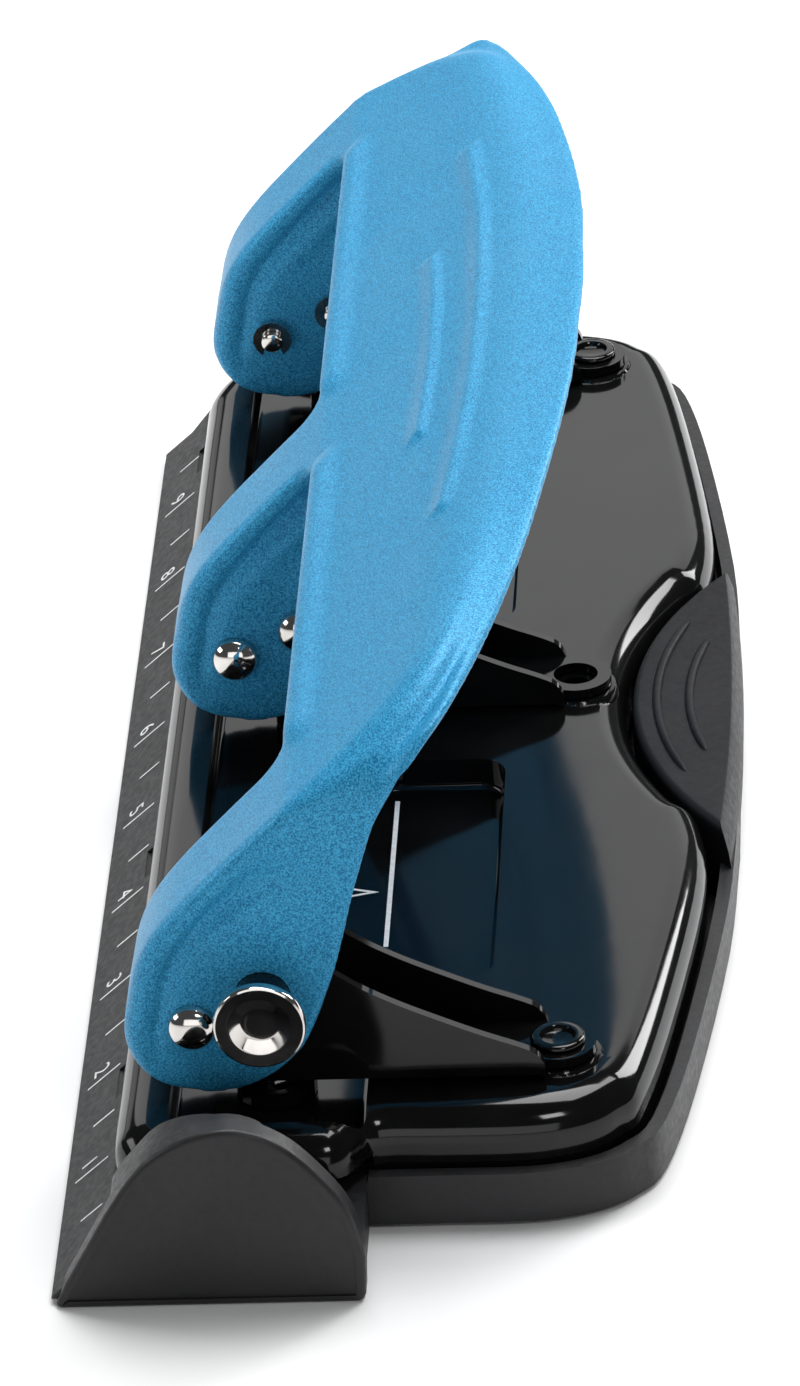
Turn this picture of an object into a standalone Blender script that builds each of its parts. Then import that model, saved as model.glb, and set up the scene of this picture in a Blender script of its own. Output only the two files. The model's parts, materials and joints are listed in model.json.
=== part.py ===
"""Desktop three-hole paper punch: moulded base tray, pressed cover, three lever presses
and one long curved handle.

Lengths below are millimetres in the tray frame: x = 0 is the outer face of the paper stop
and the row of punches runs towards -x, y = 0 is the lower front edge of the ruler ramp,
z = 0 is the table. Meshes are written in metres, centred over the footprint.
"""
import math

import bmesh
import bpy
import numpy as np
from mathutils import Matrix, Vector

MM = 0.001
FOOTPRINT_CENTRE = Vector((-135.85, 47.55, 0.0))

# ---- driving dimensions -------------------------------------------------------------
PITCH = 107.95                      # US three-hole pitch, 4.25 inch
STATIONS = {"near": -37.4, "mid": -37.4 - PITCH, "far": -37.4 - 2 * PITCH}
MID_X = STATIONS["mid"]

PIVOT = (19.6, 28.2)                # handle hinge axis, y and z
DRIVE = (29.7, 32.6)                # drive pin axis, y and z
PUNCH_Y = 30.15
PUNCH_R = 3.55
PRESS_ANGLE = math.radians(40.0)

FLOOR_BOTTOM = 0.8
FLOOR_TOP = 1.9
DECK_Z = 7.95                       # paper runs over this level
RIM_Z = 8.6
DIE_BOTTOM = 6.3
DIE_TOP = 7.9
SLOT_TOP = 10.8
RECESS_Z = 12.0
PLATEAU_Z = 17.0
COVER_T = 1.2
SKIRT_Z = 7.4
STOP_IN = 3.76                      # inner face of the paper stop
TRAY_HINGE = (10.8, 5.6)
TRAY_PIN_R = 1.2
TRAY_PIN_HOLE_R = 1.5
KNUCKLE_R = 2.3
RAMP_RUN = 7.7                      # ruler ramp: length and starting height
RAMP_START_Z = 1.2
NOTCHES = (49.0, 112.0, 178.0, 243.0)
FEET = ((-28.0, 10.5), (-246.0, 10.5), (-35.0, 74.0), (-255.7, 74.0))
FOOT_R = 5.0
SCREW_Y = 70.1
SCREW_R = 1.7
SCREW_HOLE_R = 2.0
PUNCH_HOLE_R = 3.85
PIVOT_HOLE_R = 2.05
KNOB_HOLE_R = 4.05
DRIVE_HOLE_R = 1.8
LOCK_POCKET_R = 2.95
PIN_HEAD_R = 3.4
CLIP_R = 3.1
LUG_R = 5.4                         # round end of a bracket, under its screw
LUG_HOLE_R = 3.35
SPRING_ROOM_R = 6.1                 # opening in a bracket's web for the return spring
HOLE_OVER = 1.0                     # how far a cutter reaches past a wall

LEG_HALF = 8.9
LEG_WALL = 1.6
SHEET_T = 1.8
BRACKET_HALF = 7.0
BRACKET_T = 1.4
WEB_Z = 17.8
HANDLE_HALF = PITCH + LEG_HALF      # end walls of the handle, measured from the middle

# ---- scene reset and materials --------------------------------------------------------
for old in list(bpy.data.objects):
    bpy.data.objects.remove(old, do_unlink=True)

parts = bpy.data.collections.new("hole_punch")
guides = bpy.data.collections.new("guides")
bpy.context.scene.collection.children.link(parts)
bpy.context.scene.collection.children.link(guides)


def material(name, colour, roughness, metallic):
    mat = bpy.data.materials.new(name)
    mat.use_nodes = True
    shader = mat.node_tree.nodes["Principled BSDF"]
    shader.inputs["Base Color"].default_value = (*colour, 1.0)
    shader.inputs["Roughness"].default_value = roughness
    shader.inputs["Metallic"].default_value = metallic
    mat.diffuse_color = (*colour, 1.0)
    return mat


BLUE = material("blue_metallic_paint", (0.035, 0.30, 0.60), 0.32, 0.45)
BLACK_GLOSS = material("black_enamel", (0.012, 0.012, 0.014), 0.12, 0.0)
BLACK_PLASTIC = material("black_moulded_plastic", (0.035, 0.035, 0.038), 0.48, 0.0)
CHROME = material("bright_nickel", (0.72, 0.70, 0.67), 0.12, 1.0)
STEEL = material("plain_steel", (0.42, 0.42, 0.43), 0.30, 1.0)
RUBBER = material("grey_rubber", (0.05, 0.05, 0.05), 0.80, 0.0)


# ---- helpers --------------------------------------------------------------------------
def world(x, y, z):
    """Tray-frame millimetres to world metres."""
    return (Vector((x, y, z)) - FOOTPRINT_CENTRE) * MM


def link(name, mesh, group=guides):
    obj = bpy.data.objects.new(name, mesh)
    group.objects.link(obj)
    return obj


def clean(mesh):
    bm = bmesh.new()
    bm.from_mesh(mesh)
    bmesh.ops.remove_doubles(bm, verts=bm.verts, dist=0.0005)
    bmesh.ops.recalc_face_normals(bm, faces=bm.faces)
    bm.to_mesh(mesh)
    bm.free()


def flat_outline(name, points, low, high):
    """Filled 2D curve extruded from low to high, as a clean mesh."""
    curve = bpy.data.curves.new(name, "CURVE")
    curve.dimensions = "2D"
    curve.fill_mode = "BOTH"
    curve.extrude = (high - low) / 2
    spline = curve.splines.new("POLY")
    spline.points.add(len(points) - 1)
    for target, (u, v) in zip(spline.points, points):
        target.co = (u, v, 0.0, 1.0)
    spline.use_cyclic_u = True
    holder = link(name + "_curve", curve)
    depsgraph = bpy.context.evaluated_depsgraph_get()
    mesh = bpy.data.meshes.new_from_object(holder.evaluated_get(depsgraph))
    bpy.data.objects.remove(holder, do_unlink=True)
    mesh.transform(Matrix.Translation((0.0, 0.0, (low + high) / 2)))
    clean(mesh)
    return mesh


def prism_z(name, points, z0, z1):
    return link(name, flat_outline(name, points, z0, z1))


def prism_x(name, points, x0, x1):
    """Outline given as (y, z), extruded along x."""
    mesh = flat_outline(name, points, x0, x1)
    turn = Matrix(((0, 0, 1, 0), (1, 0, 0, 0), (0, 1, 0, 0), (0, 0, 0, 1)))
    mesh.transform(turn)
    return link(name, mesh)


def block(name, x0, x1, y0, y1, z0, z1):
    """Box from a unit cube."""
    mesh = bpy.data.meshes.new(name)
    bm = bmesh.new()
    bmesh.ops.create_cube(bm, size=1.0)
    bm.to_mesh(mesh)
    bm.free()
    mesh.transform(Matrix.Diagonal((x1 - x0, y1 - y0, z1 - z0, 1.0)))
    mesh.transform(Matrix.Translation(((x0 + x1) / 2, (y0 + y1) / 2, (z0 + z1) / 2)))
    return link(name, mesh)


def cylinder(name, radius, low, high, centre, along="z", steps=24):
    """Plain cylinder from low to high, its axis along z or x through centre."""
    mesh = bpy.data.meshes.new(name)
    bm = bmesh.new()
    bmesh.ops.create_cone(bm, cap_ends=True, segments=steps, radius1=radius, radius2=radius,
                          depth=high - low)
    bm.to_mesh(mesh)
    bm.free()
    mesh.transform(Matrix.Translation((0.0, 0.0, (low + high) / 2)))
    if along == "x":
        mesh.transform(Matrix.Rotation(math.pi / 2, 4, "Y"))
        mesh.transform(Matrix.Translation((0.0, *centre)))
    else:
        mesh.transform(Matrix.Translation((*centre, 0.0)))
    return link(name, mesh)


def round_hole(name, centre, radius, low, high, along="z", steps=24):
    """Cutter for a round hole, a little longer than the wall it goes through."""
    return cylinder(name, radius, low - HOLE_OVER, high + HOLE_OVER, centre, along, steps)


def turned(name, profile, steps, centre, along):
    """Solid of revolution from (radius, height) pairs, top to bottom, about z or x."""
    mesh = bpy.data.meshes.new(name)
    bm = bmesh.new()
    verts = [bm.verts.new((r, 0.0, h)) for r, h in profile]
    for first, second in zip(verts[:-1], verts[1:]):
        bm.edges.new((first, second))
    bm.to_mesh(mesh)
    bm.free()
    obj = link(name, mesh)
    screw = obj.modifiers.new("turn", "SCREW")
    screw.axis = "Z"
    screw.angle = 2 * math.pi
    screw.steps = steps
    screw.render_steps = steps
    screw.use_merge_vertices = True
    screw.merge_threshold = 0.0001
    bake(obj)
    if along == "x":
        obj.data.transform(Matrix.Rotation(math.pi / 2, 4, "Y"))
    obj.data.transform(Matrix.Translation(centre))
    clean(obj.data)
    return obj


def bake(obj):
    depsgraph = bpy.context.evaluated_depsgraph_get()
    mesh = bpy.data.meshes.new_from_object(obj.evaluated_get(depsgraph))
    obj.modifiers.clear()
    obj.data = mesh


def combine(obj, other, operation):
    """EXACT Boolean of two solids; the second one is used up."""
    other.display_type = "WIRE"
    other.hide_render = True
    boolean = obj.modifiers.new("combine", "BOOLEAN")
    boolean.solver = "EXACT"
    boolean.operation = operation
    boolean.object = other
    bpy.context.view_layer.update()
    bake(obj)
    bpy.data.objects.remove(other, do_unlink=True)
    return obj


def cut(obj, *cutters):
    for cutter in cutters:
        combine(obj, cutter, "DIFFERENCE")
    return obj


def add(obj, *others):
    for other in others:
        combine(obj, other, "UNION")
    return obj


def bevel_where(obj, chosen, width, segments):
    """Bevel the edges for which chosen(a, b) holds, a and b being their end points."""
    bm = bmesh.new()
    bm.from_mesh(obj.data)
    edges = [e for e in bm.edges if e.calc_face_angle(0.0) > 0.5
             and chosen(e.verts[0].co, e.verts[1].co)]
    bmesh.ops.bevel(bm, geom=edges, offset=width, segments=segments, profile=0.5,
                    affect="EDGES", clamp_overlap=True)
    bmesh.ops.recalc_face_normals(bm, faces=bm.faces)
    bm.to_mesh(obj.data)
    bm.free()
    return obj


def finish(obj, name, mat, origin, smooth=True):
    """Name the part, give it its material and put its origin at a tray-frame point."""
    tidy = bmesh.new()
    tidy.from_mesh(obj.data)
    bmesh.ops.remove_doubles(tidy, verts=tidy.verts, dist=0.002)
    bmesh.ops.dissolve_degenerate(tidy, dist=0.002, edges=tidy.edges)
    bmesh.ops.dissolve_limit(tidy, angle_limit=math.radians(0.6), verts=tidy.verts,
                             edges=tidy.edges)
    bmesh.ops.triangulate(tidy, faces=[f for f in tidy.faces if len(f.verts) > 4])
    bmesh.ops.recalc_face_normals(tidy, faces=tidy.faces)
    tidy.to_mesh(obj.data)
    tidy.free()
    obj.data.transform(Matrix.Translation(-Vector(origin)))
    obj.data.transform(Matrix.Scale(MM, 4))
    obj.location = world(*origin)
    obj.name = name
    obj.data.name = name
    obj.data.materials.clear()
    obj.data.materials.append(mat)
    for polygon in obj.data.polygons:
        polygon.use_smooth = smooth
        polygon.material_index = 0
    guides.objects.unlink(obj)
    parts.objects.link(obj)
    return obj


def mirrored(points):
    """Plan outline points plus their mirror images about the middle punch."""
    return points + [(2 * MID_X - x, y) for x, y in reversed(points)]


def lookup(table, where):
    """Smooth interpolation (finite-difference Hermite) in rows of (key, values...)."""
    rows = np.array(table, float)
    keys = rows[:, 0]
    i = int(np.clip(np.searchsorted(keys, where) - 1, 0, len(keys) - 2))
    slope = np.gradient(rows[:, 1:], keys, axis=0)
    h = keys[i + 1] - keys[i]
    t = (where - keys[i]) / h
    a = (1 + 2 * t) * (1 - t) ** 2 * rows[i, 1:] + t * (1 - t) ** 2 * h * slope[i]
    b = t * t * (3 - 2 * t) * rows[i + 1, 1:] + t * t * (t - 1) * h * slope[i + 1]
    return a + b


# ---- base tray --------------------------------------------------------------------------
REAR = [(-19.0, 43.4), (-19.0, 64.5), (-19.9, 71.0), (-22.2, 76.8), (-26.0, 81.2),
        (-32.5, 84.9), (-54.0, 88.8), (-92.0, 93.2), (-120.0, 94.5)]
TRAY_OUTLINE = ([(-1.5, 0.0), (-1.5, 43.4)] + mirrored(REAR)[:-1]
                + [(-271.7, 40.0), (-270.4, 29.0), (-266.6, 18.0), (-261.5, 9.5),
                   (-257.0, 4.5), (-257.0, 0.0)])
REAR_IN = [(-21.0, 45.4), (-21.0, 64.3), (-21.8, 70.4), (-23.9, 75.7), (-27.3, 79.6),
           (-33.2, 83.0), (-54.3, 86.8), (-92.2, 91.2), (-120.1, 92.5)]
CAVITY = ([(-21.0, 9.2)] + mirrored(REAR_IN)[:-1]
          + [(-269.7, 40.0), (-268.4, 29.5), (-264.8, 19.0), (-262.6, 15.6),
             (-254.0, 15.6), (-254.0, 9.2)])
STOP = [(0.0, 0.0), (2.2, 3.9), (8.5, 15.2), (11.7, 20.1), (15.2, 23.9), (20.8, 27.0),
        (27.3, 27.9), (33.4, 25.2), (38.4, 20.1), (42.2, 14.3), (44.0, 7.0), (43.65, 0.0)]


def arc_band(cx, cy, radius, half_angle, steps):
    """Points of an arc bulging to -y about (cx, cy)."""
    out = []
    for i in range(steps + 1):
        a = -half_angle + 2 * half_angle * i / steps
        out.append((cx + radius * math.sin(a), cy - radius * math.cos(a)))
    return out


PAD_R = 66.0
PAD_C = (MID_X, 78.5 + PAD_R)
PAD_BACK = [(-187.0, 93.6), (-170.7, 94.5), (-145.35, 95.1), (-120.0, 94.5), (-103.7, 93.6)]


def base_tray():
    tray = prism_z("tray", TRAY_OUTLINE, FLOOR_BOTTOM, RIM_Z)
    slope = (DECK_Z - RAMP_START_Z) / RAMP_RUN
    over_ramp = [(-6.0, RAMP_START_Z - 6.0 * slope), (RAMP_RUN, DECK_Z), (43.6, DECK_Z),
                 (43.6, 20.0), (-6.0, 20.0)]
    cut(tray, prism_x("over_ramp", over_ramp, -300.0, 5.0),
        prism_z("chips", CAVITY, FLOOR_TOP, 20.0),
        block("under_deck", -17.0, -5.0, 12.0, 41.0, -1.0, 6.3))
    stop = prism_x("stop", STOP, -STOP_IN, 0.0)
    bevel_where(stop, lambda a, b: a.x > -0.1 and b.x > -0.1 and a.z + b.z > 0.1, 0.8, 2)
    hood = prism_z("hood", [(-2.0, 8.6), (-12.0, 8.6), (-10.5, 16.0), (-7.0, 24.0),
                            (-6.0, 30.0), (-2.0, 34.0)], 10.9, 30.0)
    roof = [(7.0, 10.0), (9.2, 15.0), (12.2, 19.2), (15.6, 23.0), (21.0, 26.0), (27.3, 26.9),
            (33.0, 24.4), (36.0, 21.5), (36.0, 10.0)]
    combine(hood, prism_x("roof", roof, -14.0, 0.0), "INTERSECT")
    pad = prism_z("pad", arc_band(*PAD_C, PAD_R, 0.683, 10) + PAD_BACK[::-1],
                  FLOOR_BOTTOM, 15.0)
    bevel_where(pad, lambda a, b: a.z > 14.9 and b.z > 14.9, 1.6, 2)
    add(tray, stop, hood, pad)
    for radius, half in ((62.3, 0.39), (57.4, 0.31)):
        low = arc_band(*PAD_C, radius + 0.65, half, 6)
        high = arc_band(*PAD_C, radius - 0.65, half, 6)
        add(tray, prism_z("grip", low + high[::-1], 14.0, 15.7))
    for tick in NOTCHES:
        cut(tray, block("notch", -tick - 4.0, -tick + 4.0, 6.4, 10.0, 6.6, 9.5))
    for x0, x1 in ((-26.0, -20.9), (-254.1, -249.0)):
        cut(tray, cylinder("knuckle_room", KNUCKLE_R + 0.45, x0, x1, TRAY_HINGE, "x", 14))
    for x0, x1 in ((-21.5, -16.5), (-258.5, -253.5)):
        cut(tray, cylinder("pin_room", TRAY_PIN_HOLE_R, x0, x1, TRAY_HINGE, "x", 12))
    for spot in FEET:
        cut(tray, cylinder("foot_room", FOOT_R + 0.3, -0.5, 1.3, spot, "z", 16))
    return finish(tray, "base_tray", BLACK_PLASTIC, tuple(FOOTPRINT_CENTRE), False)


def feet():
    for index, spot in enumerate(FEET, 1):
        foot = turned("foot", [(0.0, 1.0), (FOOT_R, 1.0), (FOOT_R, 0.3), (FOOT_R - 0.3, 0.0),
                               (0.0, 0.0)], 16, (*spot, 0.0), "z")
        finish(foot, "foot_%d" % index, RUBBER, (*spot, 0.0))


# ---- cover ------------------------------------------------------------------------------
COVER_REAR = [(-21.8, 44.2), (-21.8, 64.2), (-22.6, 70.0), (-24.6, 75.2), (-27.8, 78.9),
              (-33.4, 82.2), (-54.4, 86.0), (-90.0, 90.1)]
COVER_FAR = [(-268.9, 43.0), (-268.0, 31.0), (-264.4, 20.0), (-258.6, 12.2), (-251.0, 8.4)]
COVER_NEAR = [(-22.0, 8.1), (-18.0, 8.9), (-15.4, 11.6), (-14.6, 15.0), (-14.6, 37.5),
              (-17.4, 42.0)]


def cover_outline(inset):
    """Plan outline of the cover, moved inwards by inset."""
    bay = arc_band(*PAD_C, PAD_R + 1.1 + inset, 0.60, 10)[::-1]
    ring = (COVER_NEAR + COVER_REAR + bay
            + [(2 * MID_X - x, y) for x, y in reversed(COVER_REAR)] + COVER_FAR)
    if not inset:
        return ring
    pts = np.array(ring)
    ahead = np.roll(pts, -1, 0) - pts
    behind = pts - np.roll(pts, 1, 0)
    ahead /= np.linalg.norm(ahead, axis=1)[:, None]
    behind /= np.linalg.norm(behind, axis=1)[:, None]
    mean = ahead + behind
    mean /= np.linalg.norm(mean, axis=1)[:, None]
    inward = np.stack((-mean[:, 1], mean[:, 0]), 1)
    reach = inset / np.clip((mean * ahead).sum(1), 0.5, 1.0)
    moved = pts + inward * reach[:, None]
    first = len(COVER_NEAR) + len(COVER_REAR)
    moved[first:first + len(bay)] = np.array(bay)
    return [tuple(p) for p in moved]


def rounded_box(x0, x1, y0, y1, r, steps=3):
    out = []
    for cx, cy, start in ((x1 - r, y0 + r, -90), (x1 - r, y1 - r, 0), (x0 + r, y1 - r, 90),
                          (x0 + r, y0 + r, 180)):
        for i in range(steps + 1):
            a = math.radians(start + 90 * i / steps)
            out.append((cx + r * math.cos(a), cy + r * math.sin(a)))
    return out


RECESS = (-263.0, -20.5, 15.8, 43.5)
WINDOWS = ((-123.4, -59.4, 30.0, 60.2), (-231.3, -167.3, 30.0, 60.2))


def recess_boxes(grow, z0, z1):
    x0, x1, y0, y1 = RECESS
    boxes = [prism_z("recess", rounded_box(x0 - grow, x1 + grow, y0 - grow, y1 + grow,
                                           3.0 + grow), z0, z1)]
    for x0, x1, y0, y1 in WINDOWS:
        boxes.append(prism_z("window", rounded_box(x0 - grow, x1 + grow, y0, y1 + grow,
                                                   4.0 + grow), z0, z1))
    return boxes


def top_cover():
    cover = prism_z("cover", cover_outline(0.0), SKIRT_Z, PLATEAU_Z)
    bevel_where(cover, lambda a, b: a.z > PLATEAU_Z - 0.1 and b.z > PLATEAU_Z - 0.1, 5.2, 3)
    hollow = prism_z("hollow", cover_outline(COVER_T), 0.0, PLATEAU_Z - COVER_T)
    bevel_where(hollow, lambda a, b: a.z > 15.0 and b.z > 15.0, 4.2, 2)
    cut(hollow, *recess_boxes(COVER_T, SLOT_TOP, 30.0))
    cut(cover, *recess_boxes(0.0, RECESS_Z, 30.0))
    cut(cover, hollow, block("paper_path", -300.0, 0.0, 0.0, 44.3, 0.0, SLOT_TOP))
    for x in STATIONS.values():
        boss = turned("boss", [(0.0, 17.5), (5.8, 17.5), (6.2, 16.4), (0.0, 16.4)], 18,
                      (x, SCREW_Y, 0.0), "z")
        add(cover, boss)
        cut(cover, round_hole("screw_hole", (x, SCREW_Y), SCREW_HOLE_R, 11.0, 19.0, "z", 12),
            round_hole("punch_hole", (x, PUNCH_Y), PUNCH_HOLE_R, 9.0, 13.0, "z", 18))
    return finish(cover, "top_cover", BLACK_GLOSS, (MID_X, *TRAY_HINGE), False)


def die_plate():
    outline = [(-21.9, 12.2), (-253.2, 12.2), (-253.2, 17.6), (-260.0, 17.6), (-265.6, 32.0),
               (-266.4, 64.0), (-262.4, 68.4), (-193.0, 75.5), (-97.7, 75.5), (-28.3, 68.4),
               (-24.3, 64.0), (-24.3, 43.4), (-21.9, 41.0)]
    plate = prism_z("die", outline, DIE_BOTTOM, DIE_TOP)
    for x0, x1 in ((-25.2, -21.9), (-253.2, -249.9)):
        add(plate, cylinder("ear", KNUCKLE_R, x0, x1, TRAY_HINGE, "x", 14))
        cut(plate, round_hole("ear_hole", TRAY_HINGE, TRAY_PIN_HOLE_R, x0, x1, "x", 12))
    for x in STATIONS.values():
        cut(plate, round_hole("die_hole", (x, PUNCH_Y), PUNCH_HOLE_R, DIE_BOTTOM, DIE_TOP, "z", 18),
            round_hole("screw_hole", (x, SCREW_Y), SCREW_HOLE_R, DIE_BOTTOM, DIE_TOP, "z", 12))
    return finish(plate, "die_plate", STEEL, (MID_X, *TRAY_HINGE), False)


def tray_hinge_pins():
    for name, x0, x1 in (("near", -25.6, -17.0), ("far", -257.8, -249.4)):
        pin = cylinder("pin", TRAY_PIN_R, x0, x1, TRAY_HINGE, "x", 12)
        finish(pin, "tray_hinge_pin_" + name, STEEL, ((x0 + x1) / 2, *TRAY_HINGE))


# ---- lever presses ------------------------------------------------------------------------
FLANGE = [(19.8, WEB_Z), (19.0, 19.8), (17.6, 21.6), (15.5, 23.4), (13.9, 25.8), (13.4, 28.2),
          (14.2, 31.4), (16.2, 34.0), (19.6, 36.2), (24.5, 38.3), (31.0, 38.6), (35.5, 37.4),
          (39.2, 35.2), (43.4, 32.3), (48.7, 29.4), (54.5, 26.7), (60.0, 24.3), (64.9, 22.4),
          (67.2, 21.2), (68.4, 19.4), (68.6, WEB_Z)]


def pressed(point):
    """Where a (y, z) point of the handle goes when the handle is fully down."""
    y, z = point[0] - PIVOT[0], point[1] - PIVOT[1]
    c, s = math.cos(PRESS_ANGLE), math.sin(PRESS_ANGLE)
    return (PIVOT[0] + y * c + z * s, PIVOT[1] - y * s + z * c)


def pin_slot(radius=2.4):
    """Long hole that clears the drive pin through the whole stroke."""
    low, high = pressed(DRIVE)[1], DRIVE[1]
    top = [(PUNCH_Y + radius * math.cos(a), high + radius * math.sin(a))
           for a in np.linspace(0, math.pi, 5)]
    bottom = [(PUNCH_Y + radius * math.cos(a), low + radius * math.sin(a))
              for a in np.linspace(math.pi, 2 * math.pi, 5)]
    return [(float(y), float(z)) for y, z in top + bottom]


def bracket(name, x):
    web = prism_z("web", rounded_box(x - BRACKET_HALF, x + BRACKET_HALF, 19.8, 68.4, 1.5),
                  WEB_Z, WEB_Z + BRACKET_T)
    cut(web, cylinder("spring_room", SPRING_ROOM_R, 15.0, 22.0, (x, PUNCH_Y), "z", 20))
    for side in (-1, 1):
        x0, x1 = sorted((x + side * BRACKET_HALF, x + side * (BRACKET_HALF - BRACKET_T)))
        flange = prism_x("flange", FLANGE, x0, x1)
        cut(flange, round_hole("pivot_hole", PIVOT, PIVOT_HOLE_R, x0, x1, "x", 14),
            prism_x("drive_slot", pin_slot(), x0 - HOLE_OVER, x1 + HOLE_OVER))
        if name == "near" and side == 1:
            cut(flange, round_hole("lock_up", DRIVE, LOCK_POCKET_R, x0, x1, "x", 14),
                round_hole("lock_down", pressed(DRIVE), LOCK_POCKET_R, x0, x1, "x", 14))
        add(web, flange)
    add(web, cylinder("lug", LUG_R, WEB_Z, WEB_Z + BRACKET_T, (x, SCREW_Y), "z", 22))
    cut(web, cylinder("lug_hole", LUG_HOLE_R, 15.0, 22.0, (x, SCREW_Y), "z", 18))
    return finish(web, "bracket_" + name, BLACK_GLOSS, (x, *PIVOT), False)


def bracket_screw(name, x):
    profile = [(0.0, 19.7), (2.3, 19.7), (2.3, 20.2), (3.6, 20.2), (3.9, 19.9), (3.9, 19.5),
               (3.05, 19.5), (3.05, 17.8), (SCREW_R, 17.8), (SCREW_R, 5.2), (1.4, 4.9),
               (0.0, 4.9)]
    screw = turned("screw", profile, 16, (x, SCREW_Y, 0.0), "z")
    finish(screw, "bracket_screw_" + name, BLACK_GLOSS, (x, SCREW_Y, 19.5))


def pin_with_head(name, x, axis, shaft, head_side, mat):
    """Headed pin along x; the plain end carries a clip groove just outside the leg wall."""
    out = LEG_HALF + 0.3
    groove = shaft - 0.5
    profile = [(0.0, out + 2.3), (PIN_HEAD_R * 0.52, out + 2.05), (PIN_HEAD_R * 0.9, out + 1.1),
               (PIN_HEAD_R, out), (shaft, out),
               (shaft, -out), (groove, -out), (groove, -out - 1.0), (shaft - 0.1, -out - 1.0),
               (shaft - 0.3, -out - 2.0), (0.0, -out - 2.0)]
    pin = turned("pin", profile, 16, (0, 0, 0), "x")
    if head_side < 0:
        pin.data.transform(Matrix.Rotation(math.pi, 4, "Z"))
    pin.data.transform(Matrix.Translation((x, *axis)))
    finish(pin, name, mat, (x, *axis))
    clip = prism_x("clip", clip_outline(groove + 0.15), -out - 0.85, -out - 0.15)
    if head_side < 0:
        clip.data.transform(Matrix.Rotation(math.pi, 4, "Z"))
    clip.data.transform(Matrix.Translation((x, *axis)))
    return clip


def clip_outline(inner):
    """E-clip seen along the pin: a ring open at the bottom with three inner prongs."""
    gap = math.radians(32)
    outer = [(CLIP_R * math.sin(a), -CLIP_R * math.cos(a))
             for a in np.linspace(gap, 2 * math.pi - gap, 13)]
    inside = []
    for i, a in enumerate(np.linspace(2 * math.pi - gap * 1.5, gap * 1.5, 13)):
        r = inner if i % 4 in (0, 2) or i in (5, 7) else inner + 0.55
        inside.append((r * math.sin(a), -r * math.cos(a)))
    return [(float(y), float(z)) for y, z in outer + inside]


def press(name, x):
    bracket(name, x)
    guide = turned("guide", [(3.85, 15.3), (5.4, 15.3), (5.75, 14.9), (5.75, 12.3),
                             (3.85, 12.3), (3.85, 15.3)], 20, (x, PUNCH_Y, 0.0), "z")
    finish(guide, "punch_guide_" + name, BLACK_GLOSS, (x, PUNCH_Y, 12.3))

    punch = turned("punch", [(0.0, 36.4), (4.1, 36.4), (4.5, 36.0), (4.5, 30.5),
                             (PUNCH_R, 30.5), (PUNCH_R, 11.2), (2.6, 12.3), (0.0, 12.9)],
                   20, (x, PUNCH_Y, 0.0), "z")
    y0, y1 = PUNCH_Y - 2.25, PUNCH_Y + 2.25
    hole = [(y0 + 1.2, 30.7), (y1 - 1.2, 30.7), (y1, 31.8), (y1, 33.5), (y1 - 1.2, 34.6),
            (y0 + 1.2, 34.6), (y0, 33.5), (y0, 31.8)]
    cut(punch, prism_x("pin_hole", hole, x - 8.0, x + 8.0))
    finish(punch, "punch_" + name, STEEL, (x, PUNCH_Y, 12.0), False)

    washer = turned("washer", [(3.8, 30.2), (5.2, 30.2), (5.2, 29.4), (3.8, 29.4),
                               (3.8, 30.2)], 18, (x, PUNCH_Y, 0.0), "z")
    finish(washer, "spring_washer_" + name, STEEL, (x, PUNCH_Y, 29.4), False)

    return_spring(name, x, 15.6, 29.1, 5.0)


def return_spring(name, x, z0, z1, turns):
    wire, mean = 0.45, 4.55
    per_turn = 9
    count = int(turns * per_turn)
    curve = bpy.data.curves.new("coil", "CURVE")
    curve.dimensions = "3D"
    curve.bevel_depth = wire
    curve.bevel_resolution = 2
    curve.use_fill_caps = True
    spline = curve.splines.new("POLY")
    spline.points.add(count)
    for i, point in enumerate(spline.points):
        a = 2 * math.pi * i / per_turn
        z = z0 + wire + (z1 - z0 - 2 * wire) * i / count
        point.co = (x + mean * math.cos(a), PUNCH_Y + mean * math.sin(a), z, 1.0)
    holder = link("coil", curve)
    depsgraph = bpy.context.evaluated_depsgraph_get()
    mesh = bpy.data.meshes.new_from_object(holder.evaluated_get(depsgraph))
    bpy.data.objects.remove(holder, do_unlink=True)
    clean(mesh)
    finish(link("spring", mesh), "return_spring_" + name, STEEL, (x, PUNCH_Y, z0))


def lock_knob(x):
    """Near drive pin: shaft, lock collar, neck and dished head in one turned piece."""
    profile = [(0.0, 16.9), (2.8, 17.0), (5.2, 17.8), (5.9, 17.7), (6.22, 17.2), (6.22, 16.2),
               (5.8, 15.5), (3.75, 14.6), (3.75, 8.8), (2.6, 8.8), (2.6, 7.15), (1.5, 7.15),
               (1.5, -10.2), (0.0, -10.2)]
    knob = turned("knob", profile, 20, (x, *DRIVE), "x")
    finish(knob, "lock_knob", CHROME, (x, *DRIVE))


# ---- handle ---------------------------------------------------------------------------------
LEG_FRONT = [(17.0, 18.6), (13.6, 19.7), (11.1, 21.7), (9.8, 24.4), (9.9, 27.6), (10.7, 31.5),
             (11.6, 35.6), (13.0, 39.1), (15.3, 42.7), (18.8, 46.8), (23.9, 52.0),
             (29.2, 57.3)]
LEG_REAR = [(48.4, 62.8), (46.4, 58.9), (44.4, 52.6), (43.0, 47.9), (41.8, 43.1), (40.1, 36.8),
            (38.4, 32.0), (37.2, 28.8), (35.6, 24.3), (31.6, 19.7), (27.0, 17.8), (21.5, 17.7)]
PLATE_START = (34.2, 62.1)
PLATE_SLOPE = 0.745
PLATE_ROUND = 2.2                   # rounding of the plate into an end wall
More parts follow.
